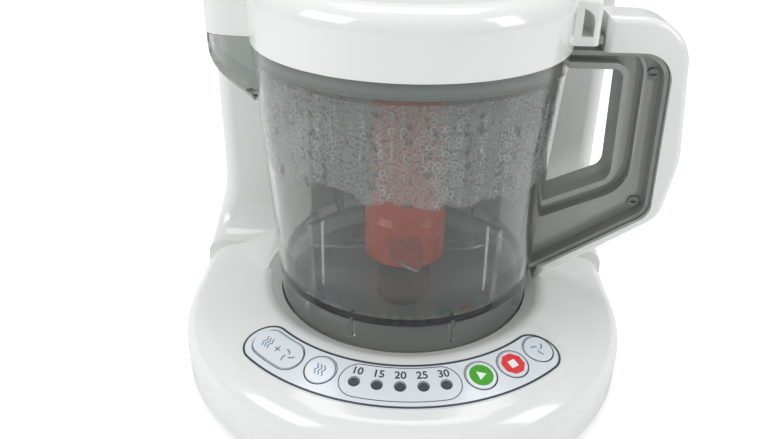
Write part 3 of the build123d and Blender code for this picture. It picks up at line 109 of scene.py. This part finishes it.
def turnedMetal(name, colour, roughness, lineMm=0.25):
    # machined or rolled metal: fine lines along one way, dull and bright patches
    material, tree, shader = newMaterial(name)
    coords = objectCoords(tree)
    stretch = addNode(tree, "ShaderNodeMapping", {"Vector": coords})
    stretch.inputs["Scale"].default_value = (1.0, 1.0, 30.0)
    lines = addNode(tree, "ShaderNodeTexNoise", {"Vector": stretch.outputs["Vector"], "Scale": 30.0 / lineMm,
                                                 "Detail": 2.0})
    rough = addNode(tree, "ShaderNodeMapRange", {"Value": lines.outputs["Fac"], "From Min": 0.3, "From Max": 0.7,
                                                 "To Min": roughness * 0.7, "To Max": roughness * 1.3})
    shader.inputs["Base Color"].default_value = linear(colour)
    shader.inputs["Metallic"].default_value = 1.0
    tree.links.new(rough.outputs["Result"], shader.inputs["Roughness"])
    setBump(tree, shader, lines.outputs["Fac"], mm(0.01), 0.3)
    return material


def mouldedRubber(name, colour):
    # matt compression moulded rubber, slightly bloomed
    material, tree, shader = newMaterial(name)
    coords = objectCoords(tree)
    bloom = addNode(tree, "ShaderNodeTexNoise", {"Vector": coords, "Scale": 60.0, "Detail": 5.0})
    ramp = addNode(tree, "ShaderNodeMix", {"Factor": bloom.outputs["Fac"]}, data_type="RGBA")
    base = linear(colour)
    ramp.inputs["A"].default_value = base
    ramp.inputs["B"].default_value = [min(1.0, c * 1.5 + 0.004) for c in base[:3]] + [1.0]
    tree.links.new(ramp.outputs["Result"], shader.inputs["Base Color"])
    shader.inputs["Roughness"].default_value = 0.75
    grain = addNode(tree, "ShaderNodeTexNoise", {"Vector": coords, "Scale": 2200.0, "Detail": 2.0})
    setBump(tree, shader, grain.outputs["Fac"], mm(0.03), 0.4)
    return material


def smokyClear(name, colour, density, roughness=0.04):
    # clear copolyester moulding with a smoky tint, slightly wavy from the mould
    material, tree, shader = newMaterial(name)
    coords = objectCoords(tree)
    wave = addNode(tree, "ShaderNodeTexNoise", {"Vector": coords, "Scale": 45.0, "Detail": 2.0})
    shader.inputs["Base Color"].default_value = linear(colour)
    shader.inputs["Roughness"].default_value = roughness
    shader.inputs["IOR"].default_value = 1.46
    shader.inputs["Transmission Weight"].default_value = density
    setBump(tree, shader, wave.outputs["Fac"], mm(0.15), 0.25)
    return material


print("making the materials")
whiteShell = mouldedPlastic("gloss_white_abs_moulded", "e4e7e5", 0.16, coat=0.35)
whiteLid = mouldedPlastic("gloss_white_abs_lid_moulded", "e6e9e7", 0.14, coat=0.4)
greyPlastic = mouldedPlastic("grey_abs_moulded", "8d9090", 0.5)
darkPlastic = mouldedPlastic("black_nylon_moulded", "1c1d20", 0.45)
orangePlastic = mouldedPlastic("orange_red_nylon_moulded", "e0490f", 0.3, coat=0.2)
softRubber = mouldedRubber("black_silicone_moulded", "202124")
paleRubber = mouldedRubber("grey_silicone_moulded", "9a9d9c")
screwSteel = turnedMetal("stainless_steel_machined", "b9bbbd", 0.3)
bladeSteel = turnedMetal("stainless_steel_ground", "d0d2d4", 0.22, 0.15)
motorSteel = turnedMetal("zinc_plated_steel_drawn", "9a9da1", 0.38)
bronze = turnedMetal("bronze_sintered", "a87a45", 0.45, 0.4)
castAluminium = turnedMetal("aluminium_cast", "b4b6b8", 0.5, 0.6)
smokyJug = smokyClear("smoky_copolyester_moulded", "d6dad8", 0.97)
smokyFrame = smokyClear("smoky_copolyester_handle_moulded", "b6b8b3", 0.4, roughness=0.2)
smokyTank = smokyClear("smoky_copolyester_tank_moulded", "c8d0cc", 0.9)
clearLens = smokyClear("smoky_acrylic_lens_moulded", "5d6368", 0.3, roughness=0.12)
panelFilm = mouldedPlastic("printed_polyester_film", "dfe6ec", 0.18, coat=0.3)
darkInk = mouldedPlastic("slate_ink_screen_printed", "3a4248", 0.4, variation=0.15)
blueInk = mouldedPlastic("blue_ink_screen_printed", "5f7fa0", 0.4, variation=0.1)
greenInk = mouldedPlastic("green_ink_screen_printed", "3ca800", 0.35, variation=0.08)
redInk = mouldedPlastic("red_ink_screen_printed", "e83434", 0.35, variation=0.08)
whiteInk = mouldedPlastic("white_ink_screen_printed", "f4f5f5", 0.35)
laminate = mouldedPlastic("glass_epoxy_laminate_lacquered", "0f5a2c", 0.3, coat=0.4)


def wetFilm(name, dropMm, cover, clear, fog):
    # condensed water: domed drops with a painted highlight as a pale rim, in upright rows, finer drops between them,
    # fog over all;
    # the pattern is unrolled from the wall, as distance around it and height
    material, tree, shader = newMaterial(name)
    place = addNode(tree, "ShaderNodeSeparateXYZ", {"Vector": objectCoords(tree)})
    x = addNode(tree, "ShaderNodeMath", {0: place.outputs["X"], 1: jugX}, operation="SUBTRACT")
    y = addNode(tree, "ShaderNodeMath", {0: jugY, 1: place.outputs["Y"]}, operation="SUBTRACT")
    turn = addNode(tree, "ShaderNodeMath", {0: x.outputs[0], 1: y.outputs[0]}, operation="ARCTAN2")
    along = addNode(tree, "ShaderNodeMath", {0: turn.outputs[0], 1: mm(64)}, operation="MULTIPLY")
    flat = addNode(tree, "ShaderNodeCombineXYZ", {"X": along.outputs[0], "Y": place.outputs["Z"]}).outputs["Vector"]
    cells = addNode(tree, "ShaderNodeTexVoronoi", {"Vector": flat, "Scale": 1000.0 / dropMm, "Randomness": 0.75},
                    voronoi_dimensions="2D")
    small = addNode(tree, "ShaderNodeTexVoronoi", {"Vector": flat, "Scale": 2500.0 / dropMm, "Randomness": 0.8},
                    voronoi_dimensions="2D")
    upright = addNode(tree, "ShaderNodeMapping", {"Vector": flat})
    upright.inputs["Scale"].default_value = (1.0, 0.06, 1.0)
    rows = addNode(tree, "ShaderNodeTexNoise", {"Vector": upright.outputs["Vector"], "Scale": 200.0, "Detail": 2.0},
                   noise_dimensions="2D")
    shades = []
    # painted highlight: each drop's rim is drawn as a more opaque pale ring, its middle left clearer
    for cell, rim in ((cells, cover), (small, cover * 0.8)):
        ramp = addNode(tree, "ShaderNodeValToRGB", {"Fac": cell.outputs["Distance"]})
        stops = ((0.0, clear * 0.5), (0.2, clear), (0.33, rim), (0.42, 0.0))
        while len(ramp.color_ramp.elements) < len(stops):
            ramp.color_ramp.elements.new(0.5)
        for element, (place, value) in zip(ramp.color_ramp.elements, stops):
            element.position = place
            element.color = (value, value, value, 1)
        shades.append(ramp.outputs["Color"])
    # a row shows its large drops, the stretches between rows only the fine ones
    inRow = addNode(tree, "ShaderNodeMapRange", {"Value": rows.outputs["Fac"], "From Min": 0.5, "From Max": 0.54})
    large = addNode(tree, "ShaderNodeMath", {0: shades[0], 1: inRow.outputs["Result"]}, operation="MULTIPLY")
    either = addNode(tree, "ShaderNodeMath", {0: large.outputs[0], 1: shades[1]}, operation="MAXIMUM")
    film = addNode(tree, "ShaderNodeMath", {0: either.outputs[0], 1: fog}, operation="ADD")
    tree.links.new(film.outputs[0], shader.inputs["Alpha"])
    shader.inputs["Base Color"].default_value = linear("d9dedd")
    shader.inputs["Roughness"].default_value = 0.12
    setBump(tree, shader, cells.outputs["Distance"], -mm(0.6), 0.7)
    return material


waterDrop = mouldedPlastic("condensed_water_drop", "aab2b2", 0.04, variation=0.3)
waterDrop.node_tree.nodes["Principled BSDF"].inputs["Alpha"].default_value = 0.3
waterFilmWithRimHighlights = wetFilm("condensed_water_film_with_painted_rim_highlights", 3.4, 0.75, 0.0, 0.2)

rimFog = mouldedPlastic("fogged_rim_film", "c9d0cd", 0.3)
rimFog.node_tree.nodes["Principled BSDF"].inputs["Alpha"].default_value = 0.6

# every CAD node gets the finish of the real material it is made of
finish = {
    "housing": whiteShell, "rear_cover": whiteShell, "handle_cover": whiteShell, "tank_lid": whiteShell,
    "lid_shell": whiteLid, "lid_cap": whiteLid, "base_pan": greyPlastic, "boiler_stand": greyPlastic,
    "tank_shelf": greyPlastic, "board_bracket": greyPlastic, "rubber_feet": softRubber,
    "housing_screws": screwSteel, "cover_screws": screwSteel, "handle_screws": greyPlastic,
    "board_screws": screwSteel, "drive_spindle": screwSteel, "blade_shaft": screwSteel,
    "tank_hinge_pin": screwSteel, "blades": bladeSteel, "motor_can": motorSteel, "motor_bracket": motorSteel,
    "motor_rotor": motorSteel, "spindle_bushes": bronze, "jug_bushes": bronze, "boiler": castAluminium,
    "drive_belt": softRubber, "well_seal": softRubber, "lid_gasket": paleRubber, "steam_nozzle": paleRubber,
    "water_hose": paleRubber, "steam_hose": paleRubber, "cord_inlet": darkPlastic, "tact_switches": darkPlastic,
    "jug_switch": darkPlastic, "thermostat": darkPlastic, "motor_fan": darkPlastic, "small_pulley": darkPlastic,
    "large_pulley": darkPlastic, "drive_coupling": darkPlastic, "jug_coupling": darkPlastic,
    "tank_valve": darkPlastic, "control_board": laminate, "power_board": laminate, "control_panel": panelFilm,
    "steam_blend_key": panelFilm, "steam_key": panelFilm, "start_key": panelFilm, "stop_key": panelFilm,
    "blend_key": panelFilm, "led_lenses": clearLens, "board_leds": clearLens, "jug_bowl": smokyJug,
    "handle_frame": smokyFrame, "lid_plug": smokyTank, "lid_latch": smokyFrame, "water_tank": smokyTank,
    "blade_stem": orangePlastic,
}
for nodeName, cadObject in nodes.items():
    material = finish.get(nodeName, whiteShell)
    if not cadObject.data.materials:
        cadObject.data.materials.append(material)
    for index in range(len(cadObject.data.materials)):
        cadObject.data.materials[index] = material

# ---- prints on the sloping panel ----
deck = {"slope": math.radians(15.6), "outR": jugY - panelLow[1], "width": mm(20.7), "ink": mm(0.03)}
deck["inR"] = deck["outR"] - deck["width"]


def onDeck(angles, radii, lift):
    # points on the cone of the panel: angle from straight ahead in degrees, radius, height along its normal
    a = np.radians(np.asarray(angles, float))
    r = np.asarray(radii, float)
    z = panelHigh[2] - (r - deck["inR"]) * math.tan(deck["slope"])
    normal = np.stack([np.sin(a) * math.sin(deck["slope"]), -np.cos(a) * math.sin(deck["slope"]),
                       np.full_like(a, math.cos(deck["slope"]))], -1)
    point = np.stack([jugX + r * np.sin(a), jugY - r * np.cos(a), z], -1)
    return point + normal * lift, normal


def nearKey(angle, radius, x, y, lift):
    # points given in millimetres across and up the slope from a key's middle
    r = radius - np.asarray(y, float) / 1000.0 * math.cos(deck["slope"])
    turned = angle + np.degrees(np.asarray(x, float) / 1000.0 / r)
    return onDeck(turned, r, lift)


def onKey(angle, radius, x, y, lift):
    # points on the flat top of a key, in millimetres across and up the slope from its middle
    middle, normal = onDeck([angle], [radius], 0.0)
    a = math.radians(angle)
    across = np.array([math.cos(a), math.sin(a), 0.0])
    upSlope = np.cross(normal[0], across)
    x, y = (np.asarray(v, float)[:, None] / 1000.0 for v in (x, y))
    point = middle[0] + across * x + upSlope * y + normal[0] * lift
    return point, np.repeat(normal, len(point), 0)


def meshPiece(name, points, faces, material, body, smooth=True):
    mesh = bpy.data.meshes.new(name)
    mesh.from_pydata(np.asarray(points).tolist(), [], [list(f) for f in faces])
    mesh.materials.append(material)
    mesh.polygons.foreach_set("use_smooth", [smooth] * len(mesh.polygons))
    mesh.update()
    piece = bpy.data.objects.new(name, mesh)
    bpy.context.scene.collection.objects.link(piece)
    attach(piece, body)
    return piece


def printedLine(name, path, width, material, body, closed=True):
    # a rectangle swept along a path: half the width to each side, the ink's height up, a little sunk below
    points, normals = path
    ahead = np.roll(points, -1, 0) - np.roll(points, 1, 0)
    if not closed:
        ahead[0] = points[1] - points[0]
        ahead[-1] = points[-1] - points[-2]
    side = np.cross(normals, ahead)
    side /= np.linalg.norm(side, axis=1)[:, None]
    low = -mm(0.12)
    ring = [points + side * width / 2 + normals * deck["ink"], points - side * width / 2 + normals * deck["ink"],
            points - side * width / 2 + normals * low, points + side * width / 2 + normals * low]
    count = len(points)
    verts = np.concatenate(ring)
    faces = []
    for i in range(count if closed else count - 1):
        j = (i + 1) % count
        for k in range(4):
            m = (k + 1) % 4
            faces.append((k * count + i, m * count + i, m * count + j, k * count + j))
    if not closed:
        faces.append([k * count for k in (3, 2, 1, 0)])
        faces.append([k * count + count - 1 for k in range(4)])
    return meshPiece(name, verts, faces, material, body, smooth=False)


def printedShape(name, path, material, body, height=0.03):
    # a filled outline with the thickness of ink, closed underneath
    points, normals = path
    count = len(points)
    verts = np.concatenate([points + normals * mm(height), points - normals * mm(0.12)])
    faces = [list(range(count)), list(range(2 * count - 1, count - 1, -1))]
    faces += [(i, i + count, (i + 1) % count + count, (i + 1) % count) for i in range(count)]
    return meshPiece(name, verts, faces, material, body, smooth=False)


def slotPath(middleAngle, halfAngle, inner, outer, lift, steps=72):
    # outline of a band with round ends that follows the panel
    middleR = (inner + outer) / 2
    half = (outer - inner) / 2
    end = math.degrees(half / middleR)
    sweep = np.linspace(-halfAngle + end, halfAngle - end, steps)
    cap = np.linspace(0, math.pi, 24)[1:-1]
    angles = np.concatenate([middleAngle + sweep, middleAngle + halfAngle - end + np.sin(cap) * end,
                             middleAngle + sweep[::-1], middleAngle - halfAngle + end - np.sin(cap) * end])
    radii = np.concatenate([np.full(steps, outer), middleR + np.cos(cap) * half, np.full(steps, inner),
                            middleR - np.cos(cap) * half])
    return onDeck(angles, radii, lift)


def circle(angle, radius, r, lift, steps=64, turn=0.0, place=nearKey):
    a = np.linspace(0, 2 * math.pi, steps, endpoint=False) + turn
    return place(angle, radius, r * np.cos(a), r * np.sin(a), lift)


print("printing the panel")
filmTop = 0.0  # lift above the film
keyTop = mm(0.4)  # the keys stand this much above the film
panelPrint = {"outline": 1.0, "ring": 0.4, "pitchR": mm(81.0), "ledR": mm(82.0)}
keyPlaces = {"steam_key": (-24.5, "steam_button"), "start_key": (24.5, "start_button"),
             "stop_key": (36.0, "stop_button"), "blend_key": (47.6, "blend_button")}
printedLine("panel_border", slotPath(0, 53.2, deck["inR"] + mm(0.7), deck["outR"] - mm(0.7), filmTop, 120),
            mm(panelPrint["outline"]), darkInk, "root")
printedLine("lamp_border", slotPath(0, 18.0, mm(73.4), mm(89.0), filmTop), mm(panelPrint["ring"]), darkInk, "root")
for keyName, (angle, body) in keyPlaces.items():
    printedLine(keyName + "_ring", circle(angle, panelPrint["pitchR"], 7.1, filmTop), mm(0.4), darkInk, "root")
printedLine("steam_blend_ring", slotPath(-41.2, 9.5 / 2 + 5.05, mm(81.0) - mm(7.1), mm(81.0) + mm(7.1), filmTop),
            mm(0.4), darkInk, "root")
printedShape("start_disc", circle(24.5, panelPrint["pitchR"], 5.15, keyTop, place=onKey), greenInk, "start_button")
printedShape("start_mark", onKey(24.5, panelPrint["pitchR"], [-1.4, 2.4, -1.4], [-2.2, 0, 2.2], keyTop + mm(0.03)),
             whiteInk, "start_button")
printedShape("stop_octagon", circle(36.0, panelPrint["pitchR"], 5.4, keyTop, 8, math.pi / 8, onKey), redInk, "stop_button")
printedShape("stop_mark", onKey(36.0, panelPrint["pitchR"], [-1.8, 1.8, 1.8, -1.8], [-1.8, -1.8, 1.8, 1.8],
                                  keyTop + mm(0.03)), whiteInk, "stop_button")


def steamMark(name, angle, offset, body, ink):
    # three upright waves
    for n in (-1, 0, 1):
        y = np.linspace(-2.6, 2.6, 25)
        x = offset + n * 1.7 + 0.45 * np.sin(y * 2.2)
        printedLine(f"{name}_{n + 2}", onKey(angle, panelPrint["pitchR"], x, y, keyTop), mm(0.45), ink, body, False)


def bladeMark(name, angle, offset, body, ink):
    # three bent blades around a hub
    for n in range(3):
        t = np.linspace(0, 1, 14)
        bend = math.radians(90 + 120 * n) + t * 0.9
        r = 0.9 + t * 2.5
        printedLine(f"{name}_{n + 1}", onKey(angle, panelPrint["pitchR"], offset + r * np.cos(bend),
                                               r * np.sin(bend), keyTop), mm(0.6), ink, body, False)


steamMark("steam_mark", -24.5, 0.0, "steam_button", blueInk)
bladeMark("blend_mark", 47.6, 0.0, "blend_button", blueInk)
steamMark("both_steam_mark", -41.2, -6.6, "steam_blend_button", blueInk)
bladeMark("both_blend_mark", -41.2, 6.6, "steam_blend_button", blueInk)
printedLine("both_plus_across", onKey(-41.2, panelPrint["pitchR"], [-1.6, 0.0, 1.6], [0, 0, 0], keyTop), mm(0.5),
            blueInk, "steam_blend_button", False)
printedLine("both_plus_up", onKey(-41.2, panelPrint["pitchR"], [0, 0, 0], [-1.6, 0.0, 1.6], keyTop), mm(0.5),
            blueInk, "steam_blend_button", False)

# plain minutes beside the five lamps
for n, minutes in enumerate((10, 15, 20, 25, 30)):
    angle = (n - 2) * 6.7
    curve = bpy.data.curves.new(f"minutes_{minutes}", "FONT")
    curve.body = str(minutes)
    curve.size = mm(5.0)
    curve.offset = mm(0.1)
    curve.align_x = "CENTER"
    curve.align_y = "CENTER"
    curve.extrude = mm(0.04)
    holder = bpy.data.objects.new("holder", curve)
    bpy.context.scene.collection.objects.link(holder)
    bpy.context.view_layer.update()
    mesh = bpy.data.meshes.new_from_object(holder.evaluated_get(bpy.context.evaluated_depsgraph_get()))
    bpy.data.objects.remove(holder)
    place, normal = onDeck([angle], [mm(76.9)], mm(0.0))
    z = Vector(normal[0])
    x = Vector((math.cos(math.radians(angle)), math.sin(math.radians(angle)), 0))
    y = z.cross(x)
    turn = Matrix((x, y, z)).transposed().to_4x4()
    mesh.transform(Matrix.Translation(Vector(place[0])) @ turn)
    mesh.materials.clear()
    mesh.materials.append(darkInk)
    label = bpy.data.objects.new(f"minutes_{minutes}", mesh)
    bpy.context.scene.collection.objects.link(label)
    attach(label, "root")
    printedLine(f"lamp_ring_{minutes}", circle(angle, panelPrint["ledR"], 2.35, filmTop, 32), mm(0.35), darkInk,
                "root")

# ---- condensation inside the jug ----
print("wetting the jug")
mist = {"seed": 7, "high": mm(150), "low": mm(108), "wall": mm(2.4), "count": 1800}
rng = np.random.default_rng(mist["seed"])
footZ, footR, bandZ, bandR = mm(36.0), mm(59.7), mm(151.2), mm(67.1)


def drops(name, angles, heights, sizes, lean):
    # each drop is a small dome on the inner wall: rings of a half ball, flattened and a little taller than wide
    rings, steps = 3, 8
    t = np.linspace(0, 2 * math.pi, steps, endpoint=False)
    polar = np.array([1.0, 0.72, 0.36])
    rise = np.array([0.0, 0.34, 0.52])
    u = np.concatenate([np.outer(polar, np.cos(t)).ravel(), [0.0], [0.0]])
    v = np.concatenate([np.outer(polar, np.sin(t)).ravel(), [0.0], [0.0]])
    w = np.concatenate([np.repeat(rise, steps), [0.58], [-0.02]])
    wallR = footR + (heights - footZ) * (bandR - footR) / (bandZ - footZ) - mist["wall"] - mm(0.02)
    outward = np.stack([np.sin(angles), -np.cos(angles), np.zeros_like(angles)], -1)
    across = np.stack([np.cos(angles), np.sin(angles), np.zeros_like(angles)], -1)
    centre = outward * wallR[:, None] + np.stack([np.full_like(angles, jugX), np.full_like(angles, jugY), heights], -1)
    size = sizes[:, None, None]
    verts = (centre[:, None, :] + across[:, None, :] * u[None, :, None] * size
             - outward[:, None, :] * w[None, :, None] * size)
    verts[:, :, 2] += v[None, :] * sizes[:, None] * lean
    faces = []
    for k in range(rings - 1):
        for i in range(steps):
            j = (i + 1) % steps
            faces.append((k * steps + i, (k + 1) * steps + i, (k + 1) * steps + j, k * steps + j))
    faces += [((rings - 1) * steps + i, rings * steps, (rings - 1) * steps + (i + 1) % steps) for i in range(steps)]
    faces += [(i, (i + 1) % steps, rings * steps + 1) for i in range(steps)]
    count = len(u)
    every = [tuple(index + d * count for index in face) for d in range(len(angles)) for face in faces]
    return meshPiece(name, verts.reshape(-1, 3), every, waterDrop, "jug")


# a thin closed sheet of it lies on the inner wall, its lower edge ragged like run-off
turnSteps, riseSteps = 360, 24
theta, level01 = np.meshgrid(np.linspace(0, 2 * math.pi, turnSteps, endpoint=False), np.linspace(0, 1, riseSteps))
waves = sum(np.sin(theta * k + k * k) / (1 + 0.12 * k) for k in (3, 7, 11, 19, 31, 53))
lowEdge = mist["low"] + mm(3.2) * waves
filmZ = lowEdge + (mist["high"] - lowEdge) * level01
filmR = footR + (np.minimum(filmZ, bandZ) - footZ) * (bandR - footR) / (bandZ - footZ) - mist["wall"]
sheets = [np.stack([jugX + (filmR - gap) * np.sin(theta), jugY - (filmR - gap) * np.cos(theta), filmZ], -1)
          for gap in (mm(0.05), mm(0.12))]
sheetPoints = np.concatenate([sheet.reshape(-1, 3) for sheet in sheets])
sheetFaces = []
half = turnSteps * riseSteps
for row in range(riseSteps - 1):
    for i in range(turnSteps):
        a, b = row * turnSteps + i, row * turnSteps + (i + 1) % turnSteps
        sheetFaces.append((a, b, b + turnSteps, a + turnSteps))
        sheetFaces.append((b + half, a + half, a + half + turnSteps, b + half + turnSteps))
for i in range(turnSteps):
    j = (i + 1) % turnSteps
    top = (riseSteps - 1) * turnSteps
    sheetFaces.append((j, i, i + half, j + half))
    sheetFaces.append((top + i, top + j, top + j + half, top + i + half))
# fogged band behind the rim, a closed ring of four walls
bandAngles = np.linspace(0, 2 * math.pi, turnSteps, endpoint=False)
bandRing = [(bandR - mist["wall"] - gap, z) for gap, z in
            ((mm(0.05), mm(151.6)), (mm(0.05), mm(157.9)), (mm(0.12), mm(157.9)), (mm(0.12), mm(151.6)))]
bandPoints = np.concatenate([np.stack([jugX + r * np.sin(bandAngles), jugY - r * np.cos(bandAngles),
                                       np.full(turnSteps, z)], -1) for r, z in bandRing])
bandFaces = [(k * turnSteps + i, k * turnSteps + (i + 1) % turnSteps, (k + 1) % 4 * turnSteps + (i + 1) % turnSteps,
              (k + 1) % 4 * turnSteps + i) for k in range(4) for i in range(turnSteps)]
meshPiece("rim_fog", bandPoints, bandFaces, rimFog, "jug")
meshPiece("condensation_film", sheetPoints, sheetFaces, waterFilmWithRimHighlights, "jug")

span = mist["high"] - mist["low"]
ragged = 0.5 + 0.5 * np.sin(rng.uniform(0, 2 * math.pi, 40))
angle = rng.uniform(-math.pi, math.pi, mist["count"])
edge = ragged[((angle + math.pi) / (2 * math.pi) * 39).astype(int)] * mm(12)
height = mist["low"] + edge + (span - edge) * rng.uniform(0, 1, mist["count"]) ** 0.85
drops("fine_condensation", angle, height, mm(0.25) + mm(0.35) * rng.random(mist["count"]) ** 2, 1.1)
columns = np.repeat(rng.uniform(-math.pi, math.pi, 46), 9)
angle = columns + rng.normal(0, 0.012, len(columns))
height = mist["low"] + span * rng.uniform(0.0, 0.95, len(columns))
drops("large_condensation", angle, height, mm(0.7) + mm(0.7) * rng.random(len(columns)), 1.25)

# ---- studio ----
print("setting the studio")


def stagePiece(name, points, faces, material):
    mesh = bpy.data.meshes.new(name)
    mesh.from_pydata(points, [], faces)
    mesh.materials.append(material)
    piece = bpy.data.objects.new(name, mesh)
    bpy.context.scene.collection.objects.link(piece)
    return piece


floorMaterial, tree, shader = newMaterial("pale_studio_paper")
shader.inputs["Base Color"].default_value = (0.93, 0.93, 0.93, 1)
shader.inputs["Roughness"].default_value = 0.9
paths = addNode(tree, "ShaderNodeLightPath")
glow = addNode(tree, "ShaderNodeEmission", {"Color": (1, 1, 1, 1), "Strength": 0.38})
seen = addNode(tree, "ShaderNodeAddShader")
tree.links.new(shader.outputs["BSDF"], seen.inputs[0])
tree.links.new(glow.outputs["Emission"], seen.inputs[1])
pick = addNode(tree, "ShaderNodeMixShader")
tree.links.new(paths.outputs["Is Camera Ray"], pick.inputs["Fac"])
tree.links.new(shader.outputs["BSDF"], pick.inputs[1])
tree.links.new(seen.outputs["Shader"], pick.inputs[2])
tree.links.new(pick.outputs["Shader"], tree.nodes["Material Output"].inputs["Surface"])
reach = 20.0
stagePiece("studio_floor", [(-reach, -reach, 0), (reach, -reach, 0), (reach, reach, 0), (-reach, reach, 0)],
           [(0, 1, 2, 3)], floorMaterial)

world = bpy.data.worlds.new("studio")
bpy.context.scene.world = world
world.use_nodes = True
worldTree = world.node_tree
background = worldTree.nodes["Background"]
background.inputs["Color"].default_value = (1, 1, 1, 1)
worldPaths = addNode(worldTree, "ShaderNodeLightPath")
direct = addNode(worldTree, "ShaderNodeMath", {0: worldPaths.outputs["Is Camera Ray"],
                                               1: worldPaths.outputs["Is Transmission Ray"]}, operation="MAXIMUM")
level = addNode(worldTree, "ShaderNodeMapRange", {"Value": direct.outputs[0], "To Min": 0.5, "To Max": 1.0})
worldTree.links.new(level.outputs["Result"], background.inputs["Strength"])


def softbox(name, place, target, size, power):
    lamp = bpy.data.lights.new(name, "AREA")
    lamp.shape = "RECTANGLE"
    lamp.size, lamp.size_y = size
    lamp.energy = power
    lampObject = bpy.data.objects.new(name, lamp)
    lampObject.location = place
    lampObject.rotation_euler = (Vector(target) - Vector(place)).to_track_quat("-Z", "Y").to_euler()
    bpy.context.scene.collection.objects.link(lampObject)


aim = (jugX, jugY, mm(90))
softbox("softbox_left", (-0.9, -0.5, 0.75), aim, (0.7, 0.5), 5.5)
softbox("softbox_right", (0.85, -0.35, 0.6), aim, (0.35, 0.6), 3.0)
softbox("softbox_top", (0.0, 0.15, 1.1), aim, (0.9, 0.5), 4.4)

# the camera stands in front, above the lid, looking down at the jug
cameraSet = {"place": (-0.5, -322.9, 241.9), "yaw": -1.2, "pitch": 28.17, "roll": 1.2, "lens": 35.08}
yaw, pitch, roll = (math.radians(cameraSet[k]) for k in ("yaw", "pitch", "roll"))
forward = Vector((math.sin(yaw) * math.cos(pitch), math.cos(yaw) * math.cos(pitch), -math.sin(pitch)))
right = Vector((math.cos(yaw), -math.sin(yaw), 0))
up = right.cross(forward)
rolledRight = right * math.cos(roll) + up * math.sin(roll)
rolledUp = up * math.cos(roll) - right * math.sin(roll)
camera = bpy.data.cameras.new("camera")
camera.lens = cameraSet["lens"]
camera.sensor_width = 36
camera.clip_start = 0.01
cameraObject = bpy.data.objects.new("camera", camera)
bpy.context.scene.collection.objects.link(cameraObject)
place = Vector((jugX + mm(cameraSet["place"][0]), jugY + mm(cameraSet["place"][1]), mm(cameraSet["place"][2])))
facing = Matrix((rolledRight, rolledUp, -forward)).transposed().to_4x4()
cameraObject.matrix_world = Matrix.Translation(place) @ facing
bpy.context.scene.camera = cameraObject
bpy.context.scene.view_settings.view_transform = "Standard"
